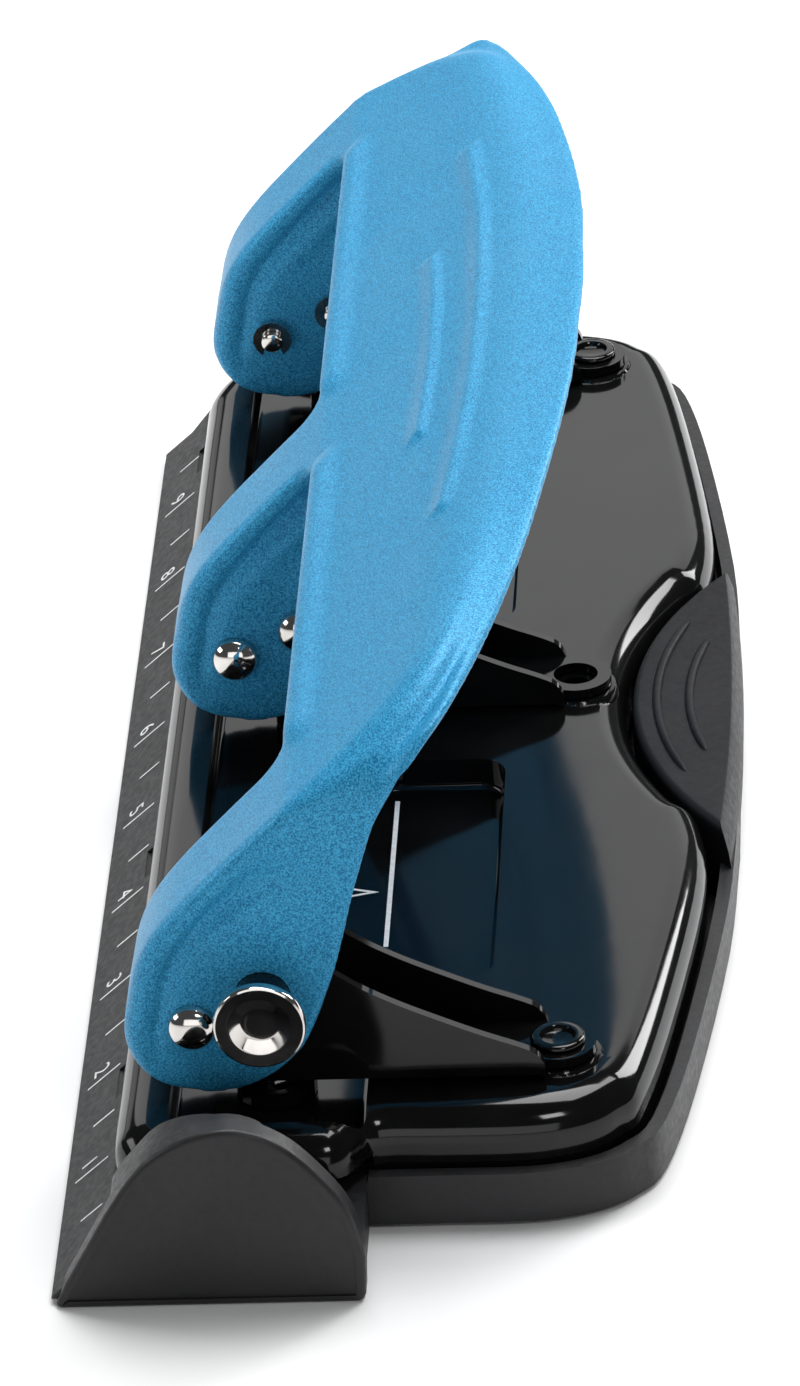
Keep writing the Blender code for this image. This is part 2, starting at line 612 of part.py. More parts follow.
# distance from the middle -> y of the ridge line on the plate
RIDGE = [(0.0, 61.9), (40.0, 61.0), (70.0, 58.8), (88.0, 57.2), (98.0, 55.2), (104.0, 53.0),
         (108.7, 49.0), (111.8, 43.2), (114.5, 38.0), (117.0, 35.6)]
# distance from the middle -> y, z of the free edge
FREE_EDGE = [(0.0, 73.3, 86.2), (30.0, 72.2, 85.3), (57.0, 69.0, 82.9), (73.0, 66.4, 80.8),
             (86.0, 63.6, 78.8), (97.0, 60.6, 76.8), (105.0, 58.1, 75.2), (110.0, 56.2, 73.9),
             (115.0, 53.3, 71.6), (117.0, 50.9, 68.6)]


def plate_z(y):
    return PLATE_START[1] + PLATE_SLOPE * (y - PLATE_START[0])


def front_curve(a):
    """Outer section at distance a from the middle: leg front, plate, ridge, free edge."""
    ridge_y = float(lookup(RIDGE, a)[0])
    edge = lookup(FREE_EDGE, a)
    ridge = np.array((ridge_y, plate_z(ridge_y)))
    start = np.array(PLATE_START)
    points = [np.array(p) for p in LEG_FRONT] + [start]
    span = ridge - start
    run = float(np.linalg.norm(span))
    back = min(4.5, run * 0.8)
    before = ridge - span / max(run, 1e-6) * back
    flange = edge - ridge
    after = ridge + flange * min(0.45, back / float(np.linalg.norm(flange)))
    points.append(start + (before - start) * 0.5)
    for t in (0.0, 0.33, 0.67, 1.0):
        points.append((1 - t) ** 2 * before + 2 * t * (1 - t) * ridge + t * t * after)
    points.append(after + (edge - after) * 0.5)
    points.append(edge)
    return np.array(points)


def inset_curve(points, distance):
    """Open (y, z) curve moved to its inner side, which lies to the right of its run."""
    ahead = np.gradient(points, axis=0)
    ahead /= np.linalg.norm(ahead, axis=1)[:, None]
    return points + np.stack((ahead[:, 1], -ahead[:, 0]), 1) * distance


def loft(name, sections):
    """Closed solid through rings of equal length given as (x, ring of (y, z))."""
    bm = bmesh.new()
    rings = [[bm.verts.new((x, float(y), float(z))) for y, z in ring] for x, ring in sections]
    for first, second in zip(rings[:-1], rings[1:]):
        for i in range(len(first)):
            j = (i + 1) % len(first)
            bm.faces.new((first[i], first[j], second[j], second[i]))
    bm.faces.new(rings[0])
    bm.faces.new(rings[-1][::-1])
    bm.normal_update()
    bmesh.ops.triangulate(bm, faces=bm.faces)
    bmesh.ops.recalc_face_normals(bm, faces=bm.faces)
    mesh = bpy.data.meshes.new(name)
    bm.to_mesh(mesh)
    bm.free()
    return link(name, mesh)


def half_stations(limit, round_over):
    """Distances from the middle; the last one lies across it, so the crown is level there."""
    rows = [30.0, 52.0, 72.0, 88.0, 98.0, 105.0, 110.0]
    rows += [limit - round_over * (1 - math.sin(math.radians(d))) for d in (0, 40, 90)]
    return [-a for a in reversed(rows)] + [-8.0, 8.0]


def sheet_section(a, limit, round_over):
    """Ring of the pressed sheet: outer face, then the inner face back again."""
    curve = front_curve(abs(a))
    into = abs(a) - (limit - round_over)
    drop = round_over - math.sqrt(max(round_over ** 2 - into ** 2, 0.0)) if into > 0 else 0.0
    outer = inset_curve(curve, drop)
    inner = inset_curve(curve, max(SHEET_T, drop + 0.8))
    return list(outer) + list(inner[::-1])


def end_outline(limit):
    """Outline of an end wall, kept a little inside the rounded sheet."""
    front = inset_curve(front_curve(limit), 1.7)
    return [(float(y), float(z)) for y, z in list(front) + LEG_REAR]


def cheek_outline():
    curve = inset_curve(front_curve(60.0), SHEET_T * 0.5)
    front = [tuple(p) for p in curve if p[0] < 46.0]
    front.append((46.0, plate_z(46.0) - 1.1))
    rear = [p for p in LEG_REAR if p[0] < 46.0 or p[1] < 60.0]
    return [(float(y), float(z)) for y, z in front + rear]


def pierced(outline, x0, x1, drive_radius=DRIVE_HOLE_R):
    """Side wall of a leg with its two pin holes."""
    wall = prism_x("wall", outline, x0, x1)
    return cut(wall, round_hole("pivot_hole", PIVOT, PIVOT_HOLE_R, x0, x1, "x", 14),
               round_hole("drive_hole", DRIVE, drive_radius, x0, x1, "x", 18))


def handle_half(end_hole):
    """Half of the handle, up to the middle punch, open only on the middle plane.

    end_hole is the radius of the drive hole in the end wall.
    """
    limit, round_over = HANDLE_HALF, PLATE_ROUND
    half = loft("sheet", [(MID_X + a, sheet_section(a, limit, round_over))
                          for a in half_stations(limit, round_over)])
    arch_y, arch_z = 33.7, 59.6
    x0, x1 = STATIONS["far"] + LEG_HALF, MID_X - LEG_HALF
    arch = [(0.0, 0.0), (60.0, 0.0), (60.0, 40.0), (arch_y + 3.3, arch_z - 4.1),
            (arch_y, arch_z), (arch_y - 10.0, arch_z + 12.3), (0.0, arch_z + 12.0)]
    cut(half, prism_x("arch", arch, x0, x1))
    lip = [(34.0, 60.6), (35.6, 62.6), (36.8, 62.2), (41.0, 58.2), (39.9, 56.9), (35.6, 59.0)]
    add(half, prism_x("lip", lip, x0 - 1.0, x1 + 1.0))
    cheek = cheek_outline()
    add(half, pierced(cheek, x0 - LEG_WALL, x0), pierced(cheek, x1, x1 + LEG_WALL),
        pierced(end_outline(limit), MID_X - limit + 0.12, MID_X - limit + LEG_WALL, end_hole))
    bm = bmesh.new()
    bm.from_mesh(half.data)
    bmesh.ops.bisect_plane(bm, geom=bm.verts[:] + bm.edges[:] + bm.faces[:], dist=0.0001,
                           plane_co=(MID_X, 0, 0), plane_no=(1, 0, 0), clear_outer=True)
    bm.to_mesh(half.data)
    bm.free()
    return half


def handle():
    """Far half, and a mirrored near half whose end wall takes the neck of the lock knob."""
    far = handle_half(DRIVE_HOLE_R)
    near = handle_half(KNOB_HOLE_R)
    near.data.transform(Matrix.Translation((2 * MID_X, 0, 0)) @ Matrix.Scale(-1, 4, (1, 0, 0)))
    bm = bmesh.new()
    bm.from_mesh(far.data)
    bm.from_mesh(near.data)
    bmesh.ops.remove_doubles(bm, verts=bm.verts, dist=0.0005)
    bmesh.ops.recalc_face_normals(bm, faces=bm.faces)
    bm.to_mesh(far.data)
    bm.free()
    bpy.data.objects.remove(near, do_unlink=True)
    return finish(far, "handle", BLUE, (MID_X, *PIVOT))


base_tray()
feet()
top_cover()
die_plate()
tray_hinge_pins()
for station, centre_x in STATIONS.items():
    press(station, centre_x)
    turn = -1 if station == "far" else 1
    pivot_clip = pin_with_head("pivot_pin_" + station, centre_x, PIVOT, 1.75, turn, CHROME)
    finish(pivot_clip, "pivot_clip_" + station, CHROME, (centre_x, *PIVOT), False)
    if station != "near":
        drive_clip = pin_with_head("drive_pin_" + station, centre_x, DRIVE, 1.5, turn, CHROME)
        finish(drive_clip, "drive_clip_" + station, CHROME, (centre_x, *DRIVE), False)
for station in ("near", "far"):
    bracket_screw(station, STATIONS[station])
lock_knob(STATIONS["near"])
handle()
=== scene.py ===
"""Looks of the three-hole paper punch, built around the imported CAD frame.

Pieces are modelled in millimetres in the tray frame that the CAD source also uses: x = 0 at the
outer face of the paper stop, y = 0 at the lower edge of the ruler ramp, z = 0 on the table.
piece() brings each of them to the frame's metres.
"""
import json
import math

import bmesh
import bpy
import numpy as np
from mathutils import Matrix, Vector

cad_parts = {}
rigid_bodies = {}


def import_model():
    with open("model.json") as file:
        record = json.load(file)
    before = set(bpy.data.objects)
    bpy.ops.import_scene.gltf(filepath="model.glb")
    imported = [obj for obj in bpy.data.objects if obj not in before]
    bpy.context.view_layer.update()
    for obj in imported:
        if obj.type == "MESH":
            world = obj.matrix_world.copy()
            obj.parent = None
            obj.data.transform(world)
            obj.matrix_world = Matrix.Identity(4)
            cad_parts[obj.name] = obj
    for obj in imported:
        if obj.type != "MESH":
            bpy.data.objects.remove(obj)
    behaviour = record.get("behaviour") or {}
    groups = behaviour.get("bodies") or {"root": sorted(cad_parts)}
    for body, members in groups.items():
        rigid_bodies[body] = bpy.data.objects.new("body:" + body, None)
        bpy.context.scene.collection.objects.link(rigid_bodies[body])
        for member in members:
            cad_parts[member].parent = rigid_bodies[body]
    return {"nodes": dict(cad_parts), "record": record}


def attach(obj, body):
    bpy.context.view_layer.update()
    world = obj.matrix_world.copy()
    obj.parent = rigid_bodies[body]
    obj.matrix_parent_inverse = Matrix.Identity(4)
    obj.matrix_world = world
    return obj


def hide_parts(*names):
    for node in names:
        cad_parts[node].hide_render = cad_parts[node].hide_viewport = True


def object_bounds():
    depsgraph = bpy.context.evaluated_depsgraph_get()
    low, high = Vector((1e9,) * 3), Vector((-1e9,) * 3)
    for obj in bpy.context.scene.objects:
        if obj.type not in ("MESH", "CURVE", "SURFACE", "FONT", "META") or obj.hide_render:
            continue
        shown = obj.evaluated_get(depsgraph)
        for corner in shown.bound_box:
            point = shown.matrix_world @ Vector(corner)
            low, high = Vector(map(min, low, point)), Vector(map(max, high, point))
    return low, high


for leftover in list(bpy.data.objects):
    bpy.data.objects.remove(leftover, do_unlink=True)
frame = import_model()
cad_low, cad_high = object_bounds()

MM = 0.001
ORIGIN = Vector((cad_high.x, cad_low.y, 0.0))  # where the tray frame's zero is
NODES = frame["nodes"]

# ---- driving dimensions, millimetres
PITCH = 107.95
STATIONS = {"near": -37.4, "mid": -37.4 - PITCH, "far": -37.4 - 2 * PITCH}
MID_X = STATIONS["mid"]
PIVOT = (19.6, 28.2)
DRIVE = (29.7, 32.6)
PUNCH_Y = 30.15
SCREW_Y = 70.1
SCREW_HOLE_R = 2.0
PUNCH_HOLE_R = 3.85
PRESS_ANGLE = math.radians(40.0)
BEYOND = -300.0           # past the far end of everything

FLOOR_BOTTOM = 0.8
FLOOR_TOP = 1.9
DECK_Z = 7.95
RAMP_RUN = 7.7
RAMP_START_Z = 1.2
RIM_Z = 8.6
SLOT_TOP = 10.8
RECESS_Z = 12.0
PLATEAU_Z = 17.0
SKIRT_Z = 7.4
COVER_T = 1.2
STOP_IN = 3.76
INCH = 25.4

LEG_HALF = 8.9
LEG_INSIDE = 7.3
BRACKET_HALF = 7.0
BRACKET_T = 1.4
WEB_Z = 17.8
HANDLE_HALF = PITCH + LEG_HALF
PIN_HEAD_R = 3.4
PIN_GAP = 0.3             # from a leg's wall to the head or clip of a pin


# ---- outlines
def smooth_path(points, per=5, closed=False):
    """Catmull-Rom curve through the points, per steps between each two."""
    pts = np.array(points, float)
    if closed:
        pts = np.vstack((pts[-1:], pts, pts[:2]))
    else:
        pts = np.vstack((2 * pts[0] - pts[1], pts, 2 * pts[-1] - pts[-2]))
    out = []
    for p0, p1, p2, p3 in zip(pts[:-3], pts[1:-2], pts[2:-1], pts[3:]):
        for t in np.arange(per) / per:
            out.append(0.5 * (2 * p1 + (p2 - p0) * t + (2 * p0 - 5 * p1 + 4 * p2 - p3) * t * t
                              + (3 * p1 - p0 - 3 * p2 + p3) * t ** 3))
    if not closed:
        out.append(pts[-2])
    return np.array(out)


def run_along(points):
    """How far along its line each point is."""
    return np.concatenate(([0.0], np.cumsum(np.linalg.norm(np.diff(points, axis=0), axis=1))))


def resample(points, count):
    """The same open line as count points at equal steps along it."""
    pts = np.array(points, float)
    along = run_along(pts)
    wanted = np.linspace(0.0, along[-1], count)
    return np.stack([np.interp(wanted, along, pts[:, k]) for k in range(pts.shape[1])], 1)


def offset(points, distance, closed=False):
    """Line moved to the right of its run; distance may be one number or one per point."""
    pts = np.array(points, float)
    if closed:
        ahead = np.roll(pts, -1, 0) - np.roll(pts, 1, 0)
    else:
        ahead = np.gradient(pts, axis=0)
    ahead /= np.linalg.norm(ahead, axis=1)[:, None]
    side = np.stack((ahead[:, 1], -ahead[:, 0]), 1)
    return pts + side * np.reshape(distance, (-1, 1))


def circle(cu, cv, radius, steps=48):
    """Round outline about (cu, cv)."""
    turn = np.linspace(0.0, 2 * math.pi, steps, endpoint=False)
    return np.stack((cu + radius * np.cos(turn), cv + radius * np.sin(turn)), 1)


def arc_band(cx, cy, radius, half_angle, steps):
    """Points of an arc bulging to -y about (cx, cy)."""
    turn = np.linspace(-half_angle, half_angle, steps)
    return np.stack((cx + radius * np.sin(turn), cy - radius * np.cos(turn)), 1)


def rounded_box(x0, x1, y0, y1, r):
    """Rectangle with quarter-round corners."""
    out = []
    for cx, cy, start in ((x1 - r, y0 + r, -90), (x1 - r, y1 - r, 0), (x0 + r, y1 - r, 90),
                          (x0 + r, y0 + r, 180)):
        for a in np.radians(np.linspace(start, start + 90, 8)):
            out.append((cx + r * math.cos(a), cy + r * math.sin(a)))
    return np.array(out)


def mirrored(points):
    """Plan points, then their mirror images about the middle punch."""
    pts = np.array(points, float)
    return np.vstack((pts, pts[::-1] * (-1, 1) + (2 * MID_X, 0)))


def lookup(table, where):
    """Smooth interpolation in rows of (key, values...)."""
    rows = np.array(table, float)
    keys = rows[:, 0]
    i = int(np.clip(np.searchsorted(keys, where) - 1, 0, len(keys) - 2))
    slope = np.gradient(rows[:, 1:], keys, axis=0)
    h = keys[i + 1] - keys[i]
    t = (where - keys[i]) / h
    a = (1 + 2 * t) * (1 - t) ** 2 * rows[i, 1:] + t * (1 - t) ** 2 * h * slope[i]
    b = t * t * (3 - 2 * t) * rows[i + 1, 1:] + t * t * (t - 1) * h * slope[i + 1]
    return a + b


def smoothstep(low, high, value):
    """0 below low, 1 above high, a smooth rise between."""
    t = np.clip((np.asarray(value, float) - low) / (high - low), 0.0, 1.0)
    return t * t * (3 - 2 * t)


# ---- solids
def linked(name, data):
    """New object in the scene for this mesh, text, light or camera."""
    obj = bpy.data.objects.new(name, data)
    bpy.context.scene.collection.objects.link(obj)
    return obj


def solid(name, verts, faces):
    """Object from corners and faces, its faces turned outward."""
    mesh = bpy.data.meshes.new(name)
    mesh.from_pydata([tuple(map(float, v)) for v in verts], [], faces)
    bm = bmesh.new()
    bm.from_mesh(mesh)
    bmesh.ops.triangulate(bm, faces=[f for f in bm.faces if len(f.verts) > 4])
    bmesh.ops.recalc_face_normals(bm, faces=bm.faces)
    bm.to_mesh(mesh)
    bm.free()
    return linked(name, mesh)


def loft(name, rings):
    """Closed rings of 3D points, joined one to the next and capped at both ends."""
    count = len(rings[0])
    faces = []
    for k in range(len(rings) - 1):
        for i in range(count):
            j = (i + 1) % count
            faces.append((k * count + i, k * count + j,
                          (k + 1) * count + j, (k + 1) * count + i))
    faces.append(tuple(range(count)))
    faces.append(tuple(range((len(rings) - 1) * count, len(rings) * count))[::-1])
    return solid(name, np.vstack(rings), faces)


def at_x(points, x):
    """(y, z) points as 3D points at one x."""
    pts = np.array(points, float)
    return np.column_stack((np.full(len(pts), float(x)), pts))


def at_z(points, z):
    """(x, y) points as 3D points at one z."""
    pts = np.array(points, float)
    return np.column_stack((pts, np.full(len(pts), float(z))))


def prism_x(name, points, x0, x1):
    return loft(name, [at_x(points, x0), at_x(points, x1)])


def prism_z(name, points, z0, z1):
    return loft(name, [at_z(points, z0), at_z(points, z1)])


def bore(centre, radius, x0, x1, steps):
    """Cutter for a round hole along x."""
    return prism_x("bore", circle(*centre, radius, steps), x0, x1)


def block(name, x0, x1, y0, y1, z0, z1):
    return prism_z(name, [(x0, y0), (x1, y0), (x1, y1), (x0, y1)], z0, z1)


AXIS_R = 0.01             # stands for a radius of nothing, so that every ring is a ring


def turned(name, profile, centre, along="z", steps=64):
    """Solid of revolution about z or x from (radius, height) pairs."""
    turn = np.linspace(0.0, 2 * math.pi, steps, endpoint=False)
    rings = []
    for radius, height in profile:
        radius = max(radius, AXIS_R)
        ring = np.stack((radius * np.cos(turn), radius * np.sin(turn), np.full(steps, height)), 1)
        rings.append(ring if along == "z" else ring[:, [2, 0, 1]])
    obj = loft(name, rings)
    obj.data.transform(Matrix.Translation(centre))
    return obj


def final_mesh(obj):
    """Copy of the object's mesh with its modifiers applied, or of a text as a mesh."""
    depsgraph = bpy.context.evaluated_depsgraph_get()
    return bpy.data.meshes.new_from_object(obj.evaluated_get(depsgraph))


def bake(obj):
    mesh = final_mesh(obj)
    obj.modifiers.clear()
    obj.data = mesh
    return obj


def combine(obj, other, operation):
    """Boolean of the two solids, left in obj; other is used up."""
    boolean = obj.modifiers.new("combine", "BOOLEAN")
    boolean.solver = "MANIFOLD"
    boolean.operation = operation
    boolean.object = other
    bpy.context.view_layer.update()
    bake(obj)
    bpy.data.objects.remove(other, do_unlink=True)
    return obj


def cut(obj, *others):
    for other in others:
        combine(obj, other, "DIFFERENCE")
    return obj


def add(obj, *others):
    for other in others:
        combine(obj, other, "UNION")
    return obj


def joined(obj, *others):
    """The meshes together in one object, without working out where they cross."""
    bm = bmesh.new()
    for one in (obj, *others):
        bm.from_mesh(one.data)
    bm.to_mesh(obj.data)
    bm.free()
    for other in others:
        bpy.data.objects.remove(other, do_unlink=True)
    return obj


def bevelled(obj, width, segments=3, angle=40.0):
    bevel = obj.modifiers.new("bevel", "BEVEL")
    bevel.width = width
    bevel.segments = segments
    bevel.limit_method = "ANGLE"
    bevel.angle_limit = math.radians(angle)
    bevel.harden_normals = False
    bevel.miter_outer = "MITER_ARC"
    return bake(obj)


def melted(obj, voxel, rounds):
    """One skin round overlapping solids, its edges softened."""
    remesh = obj.modifiers.new("skin", "REMESH")
    remesh.mode = "VOXEL"
    remesh.voxel_size = voxel
    smooth = obj.modifiers.new("soften", "SMOOTH")
    smooth.factor = 0.5
    smooth.iterations = rounds
    return bake(obj)


def thinned(obj, keep):
    """Fewer faces; keep is the share that stays."""
    thin = obj.modifiers.new("thin", "DECIMATE")
    thin.ratio = keep
    return bake(obj)


def piece(obj, name, body, material, replaces=(), sharp=40.0, weighted=True):
    """Names a finished piece, brings it to metres, paints it and lets it ride on a body."""
    obj.data.transform(Matrix.Translation(ORIGIN) @ Matrix.Scale(MM, 4))
    obj.name = name
    obj.data.name = name
    obj.data.materials.clear()
    obj.data.materials.append(material)
    obj.data.polygons.foreach_set("material_index", [0] * len(obj.data.polygons))
    obj.data.shade_smooth()
    obj.data.set_sharp_from_angle(angle=math.radians(sharp))
    if weighted:
        normals = obj.modifiers.new("normals", "WEIGHTED_NORMAL")
        normals.keep_sharp = True
        normals.weight = 60
    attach(obj, body)
    if replaces:
        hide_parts(*replaces)
    return obj


# ---- materials
class Finish:
    """A Principled material with a few short helpers for its node tree.

    A noise is given as (scale, detail), its scale per metre.
    """

    def __init__(self, name, colour, roughness, metallic=0.0):
        self.material = bpy.data.materials.new(name)
        self.material.use_nodes = True
        self.tree = self.material.node_tree
        self.shader = self.tree.nodes["Principled BSDF"]
        self.set("Base Color", (*colour, 1.0))
        self.set("Roughness", roughness)
        self.set("Metallic", metallic)
        self.place = self.node("ShaderNodeTexCoord").outputs["Object"]

    def node(self, kind, **values):
        made = self.tree.nodes.new(kind)
        for key, value in values.items():
            setattr(made, key, value)
        return made

    def set(self, socket, value):
        self.shader.inputs[socket].default_value = value

    def join(self, source, target):
        self.tree.links.new(source, target)

    def feed(self, socket, source):
        self.join(source, self.shader.inputs[socket])

    def noise(self, scale, detail):
        made = self.node("ShaderNodeTexNoise")
        made.inputs["Scale"].default_value = scale
        made.inputs["Detail"].default_value = detail
        self.join(self.place, made.inputs["Vector"])
        return made.outputs["Fac"]

    def ramp(self, noise, low, high, start=0.3, end=0.7):
        """Two colours or two greys, with a blend where the noise is between start and end."""
        made = self.node("ShaderNodeValToRGB")
        for element, where, value in zip(made.color_ramp.elements, (start, end), (low, high)):
            element.position = where
            element.color = (*value, 1.0) if isinstance(value, tuple) else (*(value,) * 3, 1.0)
        self.join(self.noise(*noise), made.inputs["Fac"])
        return made.outputs["Color"]

    def vary(self, socket, *ramp):
        self.feed(socket, self.ramp(*ramp))

    def bump(self, noise, strength, distance, under=None):
        made = self.node("ShaderNodeBump")
        made.inputs["Strength"].default_value = strength
        made.inputs["Distance"].default_value = distance
        self.join(self.noise(*noise), made.inputs["Height"])
        if under is not None:
            self.join(under, made.inputs["Normal"])
        return made.outputs["Normal"]


def blue_paint():
    """Metallic paint: deep blue with a fine bright flake under a satin lacquer."""
    f = Finish("blue_metallic_paint", (0.04, 0.28, 0.56), 0.44, 0.10)
    mix = f.node("ShaderNodeMix", data_type="RGBA")
    f.join(f.ramp((4000.0, 2.0), 0.0, 1.0, 0.37, 0.63), mix.inputs["Factor"])
    mix.inputs["A"].default_value = (0.007, 0.150, 0.335, 1.0)
    mix.inputs["B"].default_value = (0.058, 0.410, 0.700, 1.0)
    f.feed("Base Color", mix.outputs["Result"])
    f.vary("Roughness", (60.0, 3.0), 0.38, 0.46)
    grain = f.bump((4600.0, 2.0), 0.16, 0.0001)
    f.feed("Normal", f.bump((300.0, 2.0), 0.04, 0.0002, grain))
    f.set("Specular Tint", (0.50, 0.80, 1.0, 1.0))
    f.set("Specular IOR Level", 0.42)
    return f.material


def black_enamel():
    """Poured gloss enamel on steel, with the faint waviness that such paint dries with."""
    f = Finish("black_enamel", (0.006, 0.006, 0.007), 0.08)
    f.vary("Roughness", (25.0, 4.0), 0.06, 0.12)
    f.vary("Base Color", (90.0, 3.0), 0.002, 0.005)
    f.feed("Normal", f.bump((160.0, 1.0), 0.05, 0.0002))
    f.set("Specular IOR Level", 0.35)
    return f.material


def black_plastic(name, sheen):
    """Moulded black plastic with a fine spark-eroded grain, rubbed a little lighter in places."""
    f = Finish(name, (0.014, 0.014, 0.016), 0.5)
    f.vary("Base Color", (45.0, 5.0), (0.008, 0.008, 0.009), (0.016, 0.016, 0.018), 0.3, 0.75)
    f.vary("Roughness", (900.0, 2.0), 0.38, 0.52)
    f.feed("Normal", f.bump((3200.0, 2.0), 0.25, 0.0001))
    f.set("Specular IOR Level", sheen)
    return f.material


def bright_nickel():
    """Polished plating with faint turning marks and a breath of warmth."""
    f = Finish("bright_nickel", (0.74, 0.71, 0.68), 0.10, 1.0)
    f.vary("Base Color", (220.0, 4.0), (0.62, 0.59, 0.56), (0.78, 0.75, 0.72))
    f.vary("Roughness", (500.0, 4.0), 0.05, 0.15)
    f.feed("Normal", f.bump((700.0, 3.0), 0.04, 0.0001))
    return f.material


def plain_steel():
    """Bare steel, uneven in tone and gloss."""
    f = Finish("plain_steel", (0.42, 0.42, 0.43), 0.3, 1.0)
    f.vary("Base Color", (300.0, 4.0), (0.34, 0.34, 0.35), (0.50, 0.50, 0.51))
    f.vary("Roughness", (900.0, 3.0), 0.22, 0.42)
    f.feed("Normal", f.bump((1500.0, 2.0), 0.08, 0.0001))
    return f.material


def rubber():
    """Matt dark rubber with a slight skin."""
    f = Finish("grey_rubber", (0.03, 0.03, 0.03), 0.8)
    f.vary("Base Color", (400.0, 3.0), 0.022, 0.045)
    f.feed("Normal", f.bump((2500.0, 2.0), 0.3, 0.0001))
    return f.material


def white_print():
    """Hot-stamped white marks, a little thin where the grain shows through."""
    f = Finish("white_print", (0.75, 0.76, 0.77), 0.5)
    f.vary("Base Color", (1800.0, 3.0), (0.72, 0.73, 0.74), (0.88, 0.89, 0.90), 0.3, 0.6)
    return f.material


BLUE = blue_paint()
ENAMEL = black_enamel()
PLASTIC = black_plastic("black_moulded_plastic", 0.38)
PAD_PLASTIC = black_plastic("black_pad_plastic", 0.12)
NICKEL = bright_nickel()
STEEL = plain_steel()
RUBBER = rubber()
PRINT = white_print()
SLOT_FINISH = {"blue_paint": BLUE, "black_enamel": ENAMEL, "black_plastic": PLASTIC,
               "nickel": NICKEL, "steel": STEEL, "rubber": RUBBER}


# ---- handle
LEG_FRONT = [(20.4, 17.2), (16.6, 17.8), (13.3, 19.3), (10.9, 21.7), (9.8, 24.7), (9.9, 27.8),
             (10.7, 31.5), (11.6, 35.6), (13.0, 39.1), (15.3, 42.7), (18.8, 46.8), (23.9, 52.0),
             (29.2, 57.3)]
LEG_REAR = [(20.4, 17.2), (24.0, 17.3), (27.8, 18.4), (31.6, 20.7), (35.0, 24.3), (37.2, 28.8),
            (38.4, 32.0), (40.1, 36.8), (41.8, 43.1), (43.0, 47.9), (44.4, 52.6), (46.4, 58.9),
            (48.4, 62.8)]
PLATE_START = np.array((34.2, 62.1))
PLATE_SLOPE = 0.745
PLATE_UP = np.array((1.0, PLATE_SLOPE)) / math.hypot(1.0, PLATE_SLOPE)
PLATE_IN = np.array((PLATE_SLOPE, -1.0)) / math.hypot(PLATE_SLOPE, 1.0)
# rolled lower lip of the plate between the legs
LIP = [(39.8, 57.2), (37.2, 57.8), (35.2, 58.4), (34.1, 59.4), (33.65, 60.7), (34.0, 61.7)]
LIP_ROLL = 1.3            # the plate starts this far up its slope
LIP_FLARE = 1.1           # the lip curls out this much between legs
LIP_BAND = 5.0            # and the curl is this wide
# distance from the middle -> y of the ridge line on the plate, half length of its rounding
RIDGE = [(0.0, 61.9, 6.5), (40.0, 61.0, 6.5), (70.0, 58.8, 6.5), (87.5, 57.2, 6.0),
         (93.0, 56.3, 5.6), (98.0, 55.0, 5.0), (102.5, 52.6, 4.2), (106.0, 49.6, 3.4),
         (108.7, 46.6, 2.8), (110.6, 44.0, 2.4), (111.8, 42.0, 2.1), (112.9, 40.3, 1.8),
         (113.9, 38.4, 1.5), (115.2, 36.2, 1.2), (116.85, 34.8, 1.0)]
# distance from the middle -> y, z of the free edge, depth of the valley before it
FREE_EDGE = [(0.0, 73.3, 86.2, 0.0), (30.0, 72.2, 85.3, 0.0), (57.0, 69.0, 82.9, 0.0),
             (73.0, 66.4, 80.8, 0.1), (86.0, 63.6, 78.8, 0.3), (97.0, 60.6, 76.8, 0.6),
             (105.0, 58.1, 75.2, 1.0), (110.0, 56.2, 73.9, 1.3), (115.0, 53.3, 71.6, 1.3),
             (117.0, 50.9, 68.6, 1.0)]
VALLEY_SPAN = (0.42, 0.58)  # start and width of that valley, as shares of the flange
FAR_VALLEY = 0.2          # the far end is pressed less deep
SHEET = 1.9
SHEET_END_LOSS = 0.65     # share of the sheet that the plate gives up inside an end wall
PLATE_END_TURN = math.radians(58.0)  # how far the plate turns down there
# roundings of the front into a side wall: above the foot, at the plate, half-way down the neck
FOOT_CORNER, PLATE_CORNER, NECK_CORNER = 3.2, 1.5, 3.2
WALL_INSET = 0.7          # a side wall starts this far behind the leg's front
WALL_MIN = 1.1            # thinnest that a side wall gets in its valleys
WALL_STEPS = (120, 44)    # along a side wall's edges, and from front to rear
INNER_FRONT_TOP = (45.6, 70.6)  # inner walls run up to here under the plate
INNER_REAR_TOP = [(46.6, 60.2), (46.8, 66.5)]
VALLEY = (3.9, 1.7, 1.9)  # pressed along a side wall: place behind the edge, width, depth
VALLEY_BACK = 3.6         # width of its far side on the end walls, up high
FOLD = (9.6, 1.7, 0.65)   # a second, finer valley on inner walls
FILLET = 5.0              # between an inner wall and the plate
# x from the middle, half length, place up the plate, sagitta of the two grip ribs
RIBS = ((-3.0, 60.0, 30.8, 4.3), (-2.0, 29.5, 21.9, 1.3))
RIB_HEIGHT = 0.75
RIB_WIDTH = 5.0
SKIN_VOXEL = 0.48
SKIN_ROUNDS = 6
SKIN_KEEP = 0.5
LEG_PIVOT_R = 2.0
LEG_DRIVE_R = 1.7
KNOB_HOLE_R = 4.0


def leg_curve():
    """Front of a leg from its foot to the start of the plate."""
    return resample(smooth_path(LEG_FRONT + [tuple(PLATE_START)], 6), 70)


